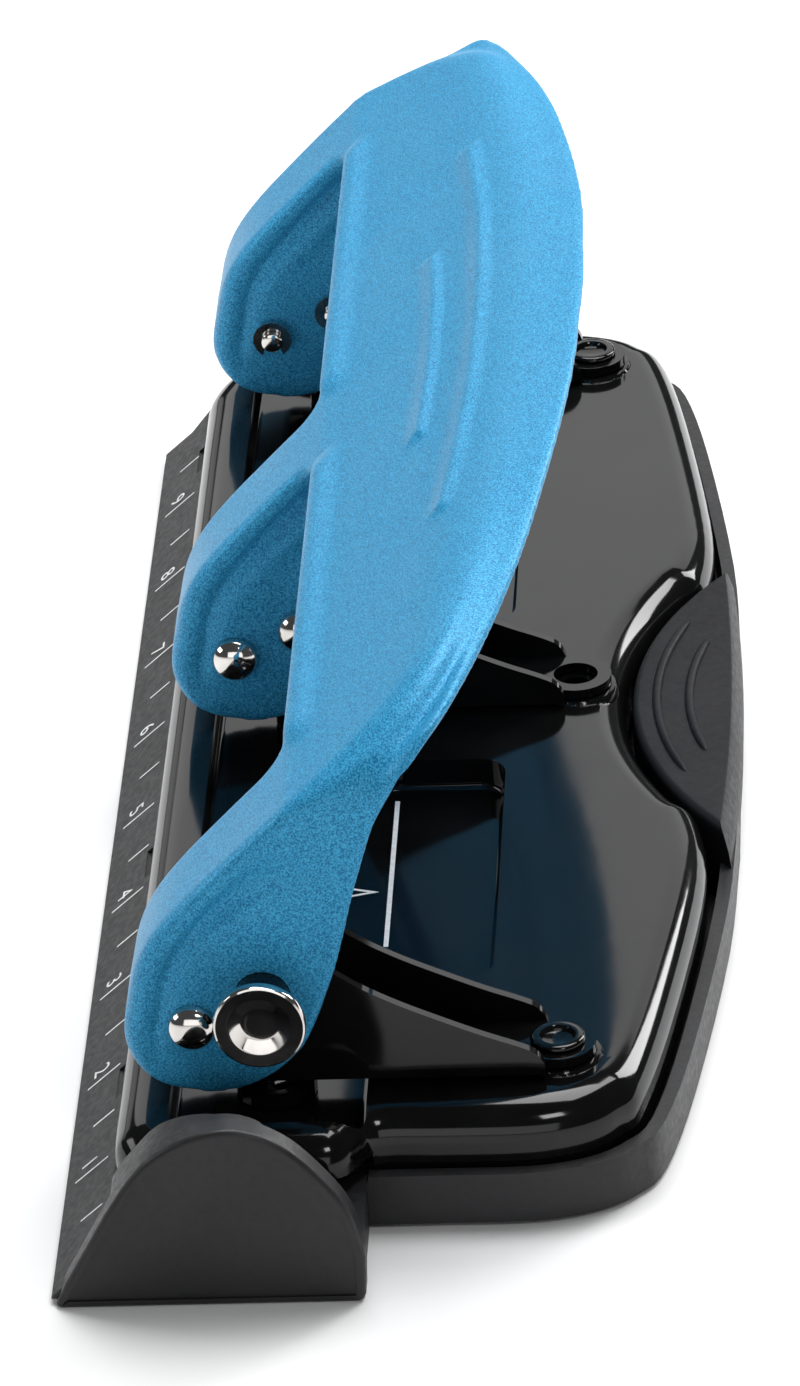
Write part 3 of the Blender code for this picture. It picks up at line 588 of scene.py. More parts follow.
def plate_curve(a, valley=1.0):
    """Plate, ridge, valley and free edge at distance a from the middle; valley scales its depth.

    Also gives how far past the ridge each point is, as a share of the way to the edge.
    """
    ridge_y, bend = lookup(RIDGE, a)
    edge_y, edge_z, depth = lookup(FREE_EDGE, a)
    ridge = np.array((ridge_y, PLATE_START[1] + PLATE_SLOPE * (ridge_y - PLATE_START[0])))
    span = ridge - PLATE_START
    run = float(np.linalg.norm(span))
    before = ridge - span / run * min(bend, run * 0.8)
    flange = np.array((edge_y, edge_z)) - ridge
    length = float(np.linalg.norm(flange))
    after = ridge + flange * min(0.4, bend / length)
    t = np.linspace(0.0, 1.0, 16)[:, None]
    rounding = (1 - t) ** 2 * before + 2 * t * (1 - t) * ridge + t * t * after
    curve = np.vstack((resample([PLATE_START, before], 60)[:-1], rounding,
                       resample([after, ridge + flange], 30)[1:]))
    past = np.clip((curve - ridge) @ flange / length ** 2, 0.0, 1.0)
    down = np.array((flange[1], -flange[0])) / length
    into = np.clip((past - VALLEY_SPAN[0]) / VALLEY_SPAN[1], 0.0, 1.0)
    dip = valley * depth * np.sin(math.pi * into) ** 2
    return curve + dip[:, None] * down, past


def rib_height(x, along):
    """How far the grip ribs stand out at x from the middle and along mm up the plate."""
    height = np.zeros_like(along)
    for middle, half, place, sag in RIBS:
        crest = place - sag * ((x - middle) / half) ** 2
        wedge = smoothstep(crest - RIB_WIDTH, crest - 0.3, along) ** 1.5
        wedge *= 1 - smoothstep(crest, crest + 0.7, along)
        wedge *= smoothstep(-half - 0.8, -half, x - middle)
        wedge *= 1 - smoothstep(half - 0.2, half + 1.2, x - middle)
        height = np.maximum(height, RIB_HEIGHT * wedge)
    return height


def corner_drop(into, radius):
    """How far a rounded edge has fallen away, into mm past the start of its rounding."""
    into = np.clip(into, 0.0, radius)
    return radius - np.sqrt(radius ** 2 - into ** 2)


def sheet_ring(outer, inner):
    """Outer line of a sheet, its half-round edge and the inner line back again."""
    middle = (outer[-1] + inner[-1]) / 2
    ahead = outer[-1] - outer[-3]
    ahead = ahead / np.linalg.norm(ahead) * float(np.linalg.norm(outer[-1] - inner[-1])) / 2
    side = outer[-1] - middle
    nose = [middle + side * math.cos(k) + ahead * math.sin(k)
            for k in np.radians((30, 60, 90, 120, 150))]
    return np.vstack((outer, np.array(nose), inner[::-1]))


def neck_radius(past):
    """Rounding between the plate's end and the end wall: widest half-way down the valley."""
    bump = smoothstep(0.05, 0.5, past) * (1 - smoothstep(0.6, 1.0, past))
    return PLATE_CORNER + (NECK_CORNER - PLATE_CORNER) * bump


def shortened(curve, past, start):
    """The same line and shares, taken from start mm along it."""
    along = run_along(curve)
    wanted = start + along * (1 - start / along[-1])
    return (np.stack([np.interp(wanted, along, curve[:, k]) for k in (0, 1)], 1),
            np.interp(wanted, along, past))


def lip_flare(x):
    """How far the lip stands out at x from the middle: nothing at the legs, full between them."""
    clear = min(abs(x - (station - MID_X)) for station in STATIONS.values()) - LEG_HALF
    return LIP_FLARE * float(smoothstep(-1.0, FILLET + 1.0, clear))


def handle_plate():
    """The long plate with its rolled lower lip, from one end wall to the other."""
    turns = np.linspace(0.0, PLATE_END_TURN, 8)     # the end walls carry on from there
    ends = np.concatenate([HANDLE_HALF - r * (1 - np.sin(turns))
                           for r in (PLATE_CORNER, NECK_CORNER)])
    places = np.concatenate((-ends, np.arange(-112.0, 112.5, 0.75), ends))
    rings = []
    for x in np.unique(np.round(places, 3)):
        curve, past = plate_curve(min(abs(x), HANDLE_HALF), 1.0 if x > 0 else FAR_VALLEY)
        along = np.linalg.norm(curve - PLATE_START, axis=1)
        flare = lip_flare(x)
        curl = flare * (1 - smoothstep(0.0, LIP_BAND, along))
        curve = offset(curve, -rib_height(x, along) - curl)
        curve, past = shortened(curve, past, LIP_ROLL)
        lip = smooth_path(LIP, 4) - flare * PLATE_IN
        curve, past = np.vstack((lip, curve)), np.concatenate((np.zeros(len(lip)), past))
        radius = neck_radius(past)
        into = abs(x) - (HANDLE_HALF - radius)
        drop = corner_drop(into, radius)[:, None]
        sheet = SHEET * (1 - SHEET_END_LOSS * np.clip(into / radius, 0.0, 1.0) ** 2)[:, None]
        down = PLATE_IN + smoothstep(0.0, 0.5, past)[:, None] * (np.array((0.0, -1.0)) - PLATE_IN)
        outer = curve + drop * down
        inner = outer + sheet * down
        inner[:len(lip)] = offset(outer[:len(lip) + 2], SHEET)[:len(lip)]
        rings.append(at_x(sheet_ring(outer, inner), MID_X + x))
    return loft("plate", rings)


def corner_radius(line):
    """Rounding of a leg's front edge: small under the foot, wide above it, less at the plate."""
    radius = FOOT_CORNER + (PLATE_CORNER - FOOT_CORNER) * smoothstep(30.0, 58.0, line[..., 1])
    return radius * (0.35 + 0.65 * smoothstep(17.2, 23.5, line[..., 1]))


def fillet(points):
    """How far an inner wall spreads out as it comes up to the plate."""
    away = points - PLATE_START
    along = np.maximum(away @ PLATE_UP, 0.0)
    distance = np.linalg.norm(away - along[..., None] * PLATE_UP, axis=-1)
    return corner_drop(FILLET - np.maximum(distance - SHEET, 0.0), FILLET)


def leg_band(centre):
    """Front strip of a leg, rounded on both sides and spread where it meets the plate."""
    rings = []
    for t in np.linspace(-1.0, 1.0, 41):
        reach = (LEG_HALF - 0.25) * math.sin(t * math.pi / 2)
        outermost = (centre - MID_X) * reach > PITCH
        ridge_y, bend = lookup(RIDGE, min(abs(centre + reach - MID_X), HANDLE_HALF))
        overlap = float(np.clip(ridge_y - bend - PLATE_START[0], 0.2, 8.0))
        top = PLATE_START + overlap * np.array((1.0, PLATE_SLOPE))
        curve = np.vstack((leg_curve(), resample([PLATE_START, top], 8)[1:]))
        radius = corner_radius(curve)
        drop = corner_drop(abs(reach) - (LEG_HALF - radius), radius)
        outer = offset(curve, drop)
        ring = sheet_ring(outer, offset(outer, SHEET))
        spread = 0.0 if outermost else fillet(ring) / LEG_HALF
        rings.append(np.column_stack((centre + reach * (1 + spread + np.zeros(len(ring))), ring)))
    return loft("band", rings)


def nearest(grid, line):
    """Distance of each point of a grid to the line."""
    return np.linalg.norm(grid[:, :, None, :] - line[None, None, ::2, :], axis=3).min(2)


def wall_edges(end):
    """Front edge of a side wall, how far past the ridge each of its points is, and rear edge."""
    if end:
        top, past = plate_curve(HANDLE_HALF)
        front = np.vstack((leg_curve(), top[1:]))
        past = np.concatenate((np.zeros(len(front) - len(past)), past))
        return front, past, smooth_path(LEG_REAR, 4)
    front = np.vstack((leg_curve(), resample([PLATE_START, INNER_FRONT_TOP], 24)[1:]))
    rear = np.vstack((smooth_path(LEG_REAR[:-1], 4), INNER_REAR_TOP))
    return front, np.zeros(len(front)), rear


def with_valleys(outside, inward, height, end):
    """A side wall's outer face, sunk where its valleys are pressed, inward mm from its edge."""
    where, width, depth = VALLEY
    deep = 0.5 * smoothstep(19.0, 30.0, height) + 0.5 * smoothstep(40.0, 54.0, height)
    if end:
        wide = width + (VALLEY_BACK - width) * smoothstep(42.0, 52.0, height)
        width = np.where(inward > where, wide, width)
        deep *= 1 - smoothstep(46.0, 56.0, height)
    outside = outside - depth * deep * np.exp(-((inward - where) / width) ** 2)
    if end:
        return outside
    where, width, depth = FOLD
    fold = depth * np.exp(-((inward - where) / width) ** 2)
    return outside - fold * smoothstep(38.0, 50.0, height)


def leg_wall(centre, side, end):
    """Side wall of a leg: it rounds off to the front and has a pressed valley behind that edge."""
    rows, columns = WALL_STEPS
    edge, past, rear = wall_edges(end)
    behind = resample(np.column_stack((offset(edge, WALL_INSET), past)), rows)
    front, past = np.split(behind, [2], 1)
    rear = resample(rear, rows)
    share = np.linspace(0.0, 1.0, columns) ** 1.4       # closer together near the front
    grid = front[None] + share[:, None, None] * (rear - front)[None]
    gap = nearest(grid, front) + WALL_INSET
    radius = corner_radius(front) + neck_radius(past[:, 0]) - PLATE_CORNER
    height = grid[:, :, 1]
    outside = LEG_HALF - corner_drop(radius - gap, radius)
    outside = with_valleys(outside, gap if end else nearest(grid, edge), height, end)
    if not end:
        outside += fillet(grid)
    thin = LEG_INSIDE - np.minimum(LEG_INSIDE, outside - WALL_MIN)
    inside = LEG_INSIDE - thin * smoothstep(40.0, 46.0, height)
    rings = []
    for points, outer, inner in zip(grid, outside, inside):
        out = np.column_stack((centre + side * outer, points))
        back = np.column_stack((centre + side * inner, points))
        rings.append(np.vstack((out, back[::-1])))
    return loft("wall", rings)


def handle():
    """One skin over the plate and the three legs, then the holes for the pins."""
    solids = [leg_band(x) for x in STATIONS.values()]
    for x in STATIONS.values():
        for side in (-1, 1):
            at_end = abs(x + side * LEG_HALF - MID_X) > PITCH
            solids.append(leg_wall(x, side, at_end))
    whole = joined(handle_plate(), *solids)
    melted(whole, SKIN_VOXEL, SKIN_ROUNDS)
    thinned(whole, SKIN_KEEP)
    for name, x in STATIONS.items():
        near_side = KNOB_HOLE_R if name == "near" else LEG_DRIVE_R
        cut(whole, bore(PIVOT, LEG_PIVOT_R, x - 12, x + 12, 32),
            bore(DRIVE, near_side, x, x + 12, 32), bore(DRIVE, LEG_DRIVE_R, x - 12, x, 32))
    return piece(whole, "handle_shell", "handle_arm", BLUE, ["handle"],
                 sharp=60.0, weighted=False)


# ---- cover
COVER_REAR = [(-21.8, 45.2), (-21.8, 54.0), (-21.8, 64.2), (-22.6, 70.0), (-24.6, 75.2),
              (-27.8, 78.9), (-33.4, 82.2), (-54.4, 86.0), (-90.0, 90.1)]
COVER_FAR = [(-268.9, 43.0), (-268.0, 31.0), (-264.4, 20.0), (-258.6, 12.2), (-251.0, 8.6)]
COVER_FRONT = [(-240.0, 8.1), (-200.0, 8.1), (-146.0, 8.1), (-90.0, 8.1), (-40.0, 8.1)]
COVER_NEAR = [(-23.0, 8.1), (-18.4, 9.1), (-15.4, 11.8), (-14.6, 16.0), (-14.6, 27.0),
              (-14.6, 37.0), (-16.0, 40.8), (-19.4, 43.0)]
PAD_R = 66.0              # the thumb pad's front is an arc about PAD_C
PAD_C = (MID_X, 78.5 + PAD_R)
PAD_CLEAR = 1.1           # from the pad to the cover's bay for it
EDGE_R = 5.2
RECESS = (-263.0, -20.5, 15.8, 43.5)
WINDOWS = ((-123.4, -59.4, 30.0, 60.2), (-231.3, -167.3, 30.0, 60.2))
ABOVE = 30.0              # top of a cutter that is open upward


def cover_outline():
    """Plan outline of the cover, run anticlockwise from the front, smooth at its corners."""
    bay = arc_band(*PAD_C, PAD_R + PAD_CLEAR, 0.60, 14)[::-1]
    rear = np.array(COVER_REAR)
    far = rear[::-1] * (-1, 1) + (2 * MID_X, 0)
    ring = smooth_path(np.vstack((COVER_NEAR, rear, bay, far, COVER_FAR, COVER_FRONT)), 6, True)
    return resample(np.vstack((ring, ring[:1])), 560)[:-1]


def cover_body(name, inset, low, top, radius, steps):
    """The cover's outline as a solid with a rounded shoulder."""
    outline = cover_outline()
    rings = [at_z(offset(outline, -inset, True), low)]
    for turn in np.linspace(0.0, math.pi / 2, steps):
        back = inset + radius * (1 - math.cos(turn))
        rings.append(at_z(offset(outline, -back, True), top - radius * (1 - math.sin(turn))))
    return loft(name, rings)


def pocket(name, outline, grow, floor, rounding):
    """Cutter for a recess whose floor meets its walls in a small fillet."""
    rings = []
    for turn in np.linspace(0.0, math.pi / 2, 5):
        back = rounding * (1 - math.sin(turn)) - grow
        rings.append(at_z(offset(outline, -back, True), floor + rounding * (1 - math.cos(turn))))
    rings.append(at_z(offset(outline, grow, True), ABOVE))
    return loft(name, rings)


def recess_cutters(grow, floor, rounding):
    """The paper recess and the two window pockets."""
    return ([pocket("recess", rounded_box(*RECESS, 3.0), grow, floor, rounding)]
            + [pocket("window", rounded_box(*box, 4.0), grow, floor, rounding) for box in WINDOWS])


def cover():
    """Pressed shell with its recess, windows, screw bosses and holes."""
    shell = cover_body("cover", 0.0, SKIRT_Z, PLATEAU_Z, EDGE_R, 12)
    hollow = cover_body("hollow", COVER_T, 0.0, PLATEAU_Z - COVER_T, EDGE_R - COVER_T, 5)
    cut(hollow, *recess_cutters(COVER_T, SLOT_TOP, 0.6))
    cut(shell, *recess_cutters(0.0, RECESS_Z, 1.1))
    cut(shell, hollow, block("paper_path", BEYOND, 0.0, 0.0, 44.3, 0.0, SLOT_TOP))
    for x in STATIONS.values():
        add(shell, turned("boss", [(6.6, 16.0), (6.3, 17.0), (6.0, 17.4), (5.5, 17.5)],
                          (x, SCREW_Y, 0.0)))
        cut(shell, prism_z("screw_hole", circle(x, SCREW_Y, SCREW_HOLE_R), 10.0, 20.0),
            prism_z("punch_hole", circle(x, PUNCH_Y, PUNCH_HOLE_R), 8.0, 14.0))
    bevelled(shell, 0.55, 3, 50.0)
    return piece(shell, "cover_shell", "press_frame", ENAMEL, ["top_cover"])


def registration_marks():
    """White line at the back of the paper recess, and an open arrow that points to it."""
    z0, z1 = RECESS_Z, RECESS_Z + 0.06
    line = block("line", -120.0, -77.0, 43.5, 44.2, z0, z1)
    x, tip, back, half, stroke = -93.0, 42.2, 34.0, 2.6, 0.35
    foot = stroke * 1.6
    outer = [(x - half, back), (x, tip), (x + half, back)]
    inner = [(x - half + foot, back + stroke), (x, tip - 1.5), (x + half - foot, back + stroke)]
    arrow = cut(prism_z("arrow", outer, z0, z1), prism_z("inside", inner, z0 - 1, z1 + 1))
    marks = joined(line, arrow)
    return piece(marks, "registration_marks", "press_frame", PRINT, weighted=False)


# ---- tray
REAR = [(-19.0, 43.4), (-19.0, 54.0), (-19.0, 64.5), (-19.9, 71.0), (-22.2, 76.8),
        (-26.0, 81.2), (-32.5, 84.9), (-54.0, 88.8), (-92.0, 93.2), (-120.0, 94.5)]
REAR_IN = [(-21.0, 45.4), (-21.0, 54.0), (-21.0, 64.3), (-21.8, 70.4), (-23.9, 75.7),
           (-27.3, 79.6), (-33.2, 83.0), (-54.3, 86.8), (-92.2, 91.2), (-120.1, 92.5)]
FAR_END = [(-271.7, 40.0), (-270.4, 29.0), (-266.6, 18.0), (-261.5, 9.5), (-257.0, 4.5)]
FAR_END_IN = [(-269.7, 40.0), (-268.4, 29.5), (-264.8, 19.0), (-262.6, 15.6)]
STOP_ARCH = [(8.5, 15.2), (11.7, 20.1), (15.2, 23.9), (20.8, 27.0), (27.3, 27.9),
             (33.4, 25.2), (38.4, 20.1), (42.2, 14.3), (44.0, 7.0)]
STOP_EDGE_R = 0.9
NOTCHES = (49.0, 112.0, 178.0, 243.0)
DECK_BACK = 43.6
UNDER_DECK_Z = 6.3
# plan of the hood that joins the stop to the tray, and its y, z roof line
HOOD = [(-2.0, 8.6), (-12.0, 8.6), (-10.5, 16.0), (-7.0, 24.0), (-6.0, 30.0), (-2.0, 34.0)]
HOOD_ROOF = [(7.0, 10.0), (9.2, 15.0), (12.2, 19.2), (15.6, 23.0), (21.0, 26.0), (27.3, 26.9),
             (33.0, 24.4), (36.0, 21.5)]


def stop_outline():
    """The stop's D shape: straight up the ramp side, then one round arch."""
    arch = smooth_path(STOP_ARCH, 5)
    front = [(1.2, 0.0), (0.75, 0.25), (0.72, 0.8), (2.2, 3.9)]
    back = [(43.75, 1.2), (43.5, 0.4), (42.8, 0.0)]
    return np.vstack((front, arch, back))


def paper_stop():
    """D-shaped stop with a raised rounded rim round a slightly sunk flat face."""
    outline = stop_outline()
    rings = [at_x(outline, -STOP_IN)]
    for turn in np.linspace(0.0, math.pi / 2, 6):
        inward = offset(outline, STOP_EDGE_R * (1 - math.cos(turn)))
        inward[:, 1] = np.maximum(inward[:, 1], 0.0)
        rings.append(at_x(inward, -STOP_EDGE_R * (1 - math.sin(turn))))
    stop = loft("stop", rings)
    face = offset(outline, 1.35)
    face[:, 1] = np.maximum(face[:, 1], 0.9)
    return cut(stop, prism_x("face", face, -0.35, 1.0))


def tray_body():
    """Floor, rim and paper deck in one, with the ruler ramp and the space for the chips."""
    outline = np.vstack(([(-1.5, 0.0), (-1.5, 43.4)], mirrored(smooth_path(REAR, 4))[:-1],
                         smooth_path(FAR_END, 4), [(-257.0, 0.0)]))
    body = prism_z("tray", outline, FLOOR_BOTTOM, RIM_Z)
    slope = (DECK_Z - RAMP_START_Z) / RAMP_RUN
    over_ramp = [(-6.0, RAMP_START_Z - 6.0 * slope), (RAMP_RUN, DECK_Z), (DECK_BACK, DECK_Z),
                 (DECK_BACK, 20.0), (-6.0, 20.0)]
    cavity = np.vstack(([(-21.0, 9.2)], mirrored(smooth_path(REAR_IN, 4))[:-1],
                        smooth_path(FAR_END_IN, 4), [(-254.0, 15.6), (-254.0, 9.2)]))
    return cut(body, prism_x("over_ramp", over_ramp, BEYOND, 5.0),
               prism_z("chips", cavity, FLOOR_TOP, 20.0),
               block("under_deck", -17.0, -5.0, 12.0, 41.0, -1.0, UNDER_DECK_Z))


def hood():
    """Low roof between the stop and the deck."""
    roof = np.vstack((smooth_path(HOOD_ROOF, 4), [(36.0, 10.0)]))
    return combine(prism_z("hood", HOOD, 10.9, ABOVE), prism_x("roof", roof, -14.0, 0.0),
                   "INTERSECT")


def tray():
    """The moulded tray with its notches, hood and paper stop."""
    body = tray_body()
    for tick in NOTCHES:
        cut(body, block("notch", -tick - 4.0, -tick + 4.0, 6.4, 10.0, 6.6, 9.5))
    add(body, hood())
    bevelled(body, 0.3, 2, 40.0)
    add(body, paper_stop())
    return piece(body, "tray_shell", "base", PLASTIC, ["base_tray"])


# ---- thumb pad
PAD_BACK = 95.1
PAD_BACK_SAG = 1.5        # the back edge curves in by this much at its ends
PAD_HALF = 41.65
PAD_HALF_ANGLE = 0.683    # about where the pad's front arc meets its back edge
PAD_TOP = 15.0
GRIP_R = 0.72
# height, inset of the front, inset of the back
PAD_PROFILE = [(0.8, 0.0, 0.6), (4.0, 0.0, 0.2), (8.6, 0.0, 0.0), (11.0, 0.0, 0.3),
               (13.4, 0.0, 1.0), (14.0, 0.05, 1.2), (14.5, 0.25, 1.4), (14.85, 0.6, 1.6),
               (PAD_TOP, 1.1, 1.95)]


def pad_ring(z, front_in, rear_in):
    """Crescent outline of the thumb pad at one height."""
    radius = PAD_R - front_in

    def rear_y(x):
        return PAD_BACK - rear_in - PAD_BACK_SAG * ((x - MID_X) / PAD_HALF) ** 2

    half = PAD_HALF_ANGLE
    for _ in range(12):
        x = MID_X + radius * math.sin(half)
        half = math.acos(np.clip((PAD_C[1] - rear_y(x)) / radius, -1.0, 1.0))
    front = arc_band(*PAD_C, radius, half, 48)
    xs = np.linspace(front[-1][0], front[0][0], 34)[1:-1]
    return at_z(np.vstack((front, np.column_stack((xs, rear_y(xs))))), z)


def grip(away, half):
    """Round bar curved along the pad, tapering into it at its ends."""
    rings = []
    for turn in np.linspace(-half, half, 40):
        thick = GRIP_R * math.sqrt(max(1 - (turn / half) ** 10, 0.02))
        out = np.array((math.sin(turn), -math.cos(turn)))
        middle = np.array(PAD_C) + out * (PAD_R - away)
        ring = [(*(middle + out * thick * math.cos(k)), PAD_TOP + thick * math.sin(k))
                for k in np.linspace(0, 2 * math.pi, 14, endpoint=False)]
        rings.append(np.array(ring))
    return loft("grip", rings)


def thumb_pad():
    """Crescent pad at the back edge with two grip ribs and a drafted back."""
    pad = loft("pad", [pad_ring(*row) for row in PAD_PROFILE])
    add(pad, grip(3.7, 0.39), grip(8.6, 0.31))
    return piece(pad, "thumb_pad", "base", PAD_PLASTIC, sharp=30.0)


# ---- ruler
TICK_HALF_WIDTH = 0.17
TICK_TOP = 0.83           # ends of the ticks, as shares of the ramp's slope
INCH_TICK_LOW = 0.19
HALF_TICK_LOW = 0.42
PRINT_HALF = 0.05         # half thickness of the print
NUMBER_SIZE = 4.4
NUMBER_PLACE = (2.6, 0.30)  # past its tick, and the share up the slope


def ramp_point(x, up):
    """Point on the ramp, up being the share of the way from its lower to its upper edge."""
    return Vector((x, RAMP_RUN * up, RAMP_START_Z + (DECK_Z - RAMP_START_Z) * up))


RAMP_UP = (ramp_point(0, 1) - ramp_point(0, 0)).normalized()
RAMP_OUT = Vector((1, 0, 0)).cross(RAMP_UP)


def tick_mark(half_inches):
    """One tick, longer at a whole inch."""
    x = -STOP_IN - half_inches * INCH / 2
    low = ramp_point(x, INCH_TICK_LOW if half_inches % 2 == 0 else HALF_TICK_LOW)
    high = ramp_point(x, TICK_TOP)
    half = Vector((TICK_HALF_WIDTH, 0, 0))
    corners = [low - half, low + half, high + half, high - half]
    verts = [c + RAMP_OUT * lift for lift in (-PRINT_HALF, PRINT_HALF) for c in corners]
    sides = [(i, (i + 1) % 4, (i + 1) % 4 + 4, i + 4) for i in range(4)]
    return solid("tick", verts, [(0, 1, 2, 3), (7, 6, 5, 4)] + sides)


def number_mark(inches):
    """The number beside an inch tick, lying on the ramp."""
    text = bpy.data.curves.new("number", "FONT")
    text.body = str(inches)
    text.size = NUMBER_SIZE
    text.extrude = PRINT_HALF
    text.offset = -0.03
    text.align_x = "CENTER"
    holder = linked("number", text)
    mesh = final_mesh(holder)
    bpy.data.objects.remove(holder, do_unlink=True)
    past, up = NUMBER_PLACE
    place = ramp_point(-STOP_IN - inches * INCH - past, up) + RAMP_OUT * 0.02
    turn = Matrix((Vector((1, 0, 0)), RAMP_UP, RAMP_OUT)).transposed()
    mesh.transform(Matrix.Translation(place) @ turn.to_4x4())
    return linked("number", mesh)


def ruler():
    """Inch ticks and half-inch ticks, and the numbers beside the inch ticks."""
    ticks = [tick_mark(half_inches) for half_inches in range(1, 20)]
    piece(joined(*ticks), "ruler_ticks", "base", PRINT, weighted=False)
    numbers = [number_mark(inches) for inches in range(1, 10)]
    piece(joined(*numbers), "ruler_numbers", "base", PRINT, weighted=False)


# ---- brackets, pins and knob
FLANGE = [(19.8, WEB_Z), (19.0, 19.8), (17.6, 21.6), (15.5, 23.4), (13.9, 25.8), (13.4, 28.2),
          (14.2, 31.4), (16.2, 34.0), (19.6, 36.2), (24.5, 38.3), (31.0, 38.6), (35.5, 37.4),
          (39.2, 35.2), (43.4, 32.3), (48.7, 29.4), (54.5, 26.7), (60.0, 24.3), (64.9, 22.4),
          (67.2, 21.2), (68.4, 19.4), (68.6, WEB_Z)]
SPRING_ROOM_R = 6.1       # opening in the web for the return spring
SLOT_HALF = 2.4           # half width of the drive pin's slot
BRACKET_PIVOT_R = 2.05
LOCK_POCKET_R = 2.95
LUG_R = 5.4               # round end of the web, under its screw
LUG_HOLE_R = 3.35


def pressed(point):
    """Where a (y, z) point of the handle goes when the handle is fully down."""
    y, z = point[0] - PIVOT[0], point[1] - PIVOT[1]
    c, s = math.cos(PRESS_ANGLE), math.sin(PRESS_ANGLE)
    return (PIVOT[0] + y * c + z * s, PIVOT[1] - y * s + z * c)


def pin_slot():
    """Upright slot in a flange, as long as the drive pin's way down."""
    low, high = pressed(DRIVE)[1], DRIVE[1]
    over = np.linspace(0, math.pi, 12)
    across, rise = SLOT_HALF * np.cos(over), SLOT_HALF * np.sin(over)
    top = np.stack((PUNCH_Y + across, high + rise), 1)
    bottom = np.stack((PUNCH_Y - across, low - rise), 1)
    return np.vstack((top, bottom))


def bracket(name, x):
    """Pressed channel: web with a round lug, two flanges, a slot for the drive pin."""
    web = prism_z("web", rounded_box(x - BRACKET_HALF, x + BRACKET_HALF, 19.8, 68.4, 1.5),
                  WEB_Z, WEB_Z + BRACKET_T)
    cut(web, prism_z("spring_room", circle(x, PUNCH_Y, SPRING_ROOM_R), 15.0, 22.0))
    outline = smooth_path(FLANGE, 4)
    for side in (-1, 1):
        x0, x1 = sorted((x + side * BRACKET_HALF, x + side * (BRACKET_HALF - BRACKET_T)))
        flange = prism_x("flange", outline, x0, x1)
        cut(flange, bore(PIVOT, BRACKET_PIVOT_R, x0 - 1, x1 + 1, 24),
            prism_x("drive_slot", pin_slot(), x0 - 1, x1 + 1))
        if name == "near" and side == 1:
            for spot in (DRIVE, pressed(DRIVE)):
                cut(flange, bore(spot, LOCK_POCKET_R, x0 - 1, x1 + 1, 24))
        add(web, flange)
    add(web, prism_z("lug", circle(x, SCREW_Y, LUG_R), WEB_Z, WEB_Z + BRACKET_T))
    cut(web, prism_z("lug_hole", circle(x, SCREW_Y, LUG_HOLE_R), 15.0, 22.0))
    bevelled(web, 0.34, 3, 45.0)
    return piece(web, "bracket_shell_" + name, "press_frame", ENAMEL,
                 ["bracket_" + name])


def screw(name, x):
    """Round-headed screw through a bracket's lug, in one turned piece."""
    profile = [(0.0, 19.2), (1.6, 19.25), (2.2, 19.4), (2.4, 19.9), (2.6, 20.15), (3.4, 20.2),
               (3.75, 20.05), (3.9, 19.8), (3.9, 19.5), (3.05, 19.5), (3.05, 17.8),
               (1.7, 17.8), (1.7, 5.2), (1.4, 4.9), (0.0, 4.9)]
    return piece(turned("screw", profile, (x, SCREW_Y, 0.0)), "screw_turned_" + name,
                 "press_frame", ENAMEL, ["bracket_screw_" + name])


def headed_pin(name, x, axis, shaft, side, body, replaces):
    """Pin with a domed head on one side and a groove for its clip on the other."""
    out = LEG_HALF + PIN_GAP
    dome = [(PIN_HEAD_R * math.cos(a), out + 0.35 + 1.95 * math.sin(a))
            for a in np.linspace(math.pi / 2, 0.0, 12)]
    groove = shaft - 0.5
    profile = dome + [(PIN_HEAD_R, out), (shaft, out), (shaft, -out), (groove, -out),
                      (groove, -out - 1.0), (shaft - 0.1, -out - 1.0),
                      (shaft - 0.1, -out - 1.8), (shaft - 0.35, -out - 2.0), (0.0, -out - 2.0)]
    pin = turned("pin", profile, (0, 0, 0), "x", 48)
    if side < 0:
        pin.data.transform(Matrix.Rotation(math.pi, 4, "Z"))
    pin.data.transform(Matrix.Translation((x, *axis)))
    return piece(pin, name, body, NICKEL, replaces)


def knob():
    """Large lock knob: dished face, rounded rim, neck, lock collar and pin in one turned piece."""
    face = [(0.0, 16.35), (1.3, 16.36), (2.4, 16.42), (2.75, 16.55), (4.3, 17.15), (4.6, 17.24)]
    rim = [(5.9, 17.48), (6.1, 17.52), (6.35, 17.4), (6.48, 17.1), (6.5, 16.6), (6.48, 16.1),
           (6.2, 15.7), (4.6, 15.0)]
    neck = [(3.9, 14.6), (3.7, 14.0), (3.7, 8.8)]
    collar_and_pin = [(2.6, 8.8), (2.6, 7.15), (1.5, 7.15), (1.5, -10.2), (0.0, -10.2)]
    turned_knob = turned("knob", face + rim + neck + collar_and_pin,
                         (STATIONS["near"], *DRIVE), "x", 96)
    return piece(turned_knob, "lock_knob_turned", "lock", NICKEL, ["lock_knob"],
                 sharp=35.0)


def knob_sleeve():
    """Black collar round the knob's neck, outside the leg."""
    profile = [(3.72, 14.7), (3.92, 14.6), (3.92, 9.0), (3.72, 8.9), (3.72, 14.7)]
    sleeve = turned("sleeve", profile, (STATIONS["near"], *DRIVE), "x", 64)
    return piece(sleeve, "lock_knob_sleeve", "lock", ENAMEL)


# ---- carried-over nodes
def paint_cad_nodes():
    """CAD nodes that stay get the finish of their slot."""
    for row in frame["record"]["subparts"]:
        obj = NODES[row["node"]]
        if obj.hide_render:
            continue
        for slot in obj.material_slots:
            slot.material = SLOT_FINISH[row["material_slot"]]


# ---- stage
FLOOR_HALF = 1.4
SURROUND_COLOUR = (0.90, 0.95, 1.0, 1.0)
SURROUND_STRENGTH = 0.07
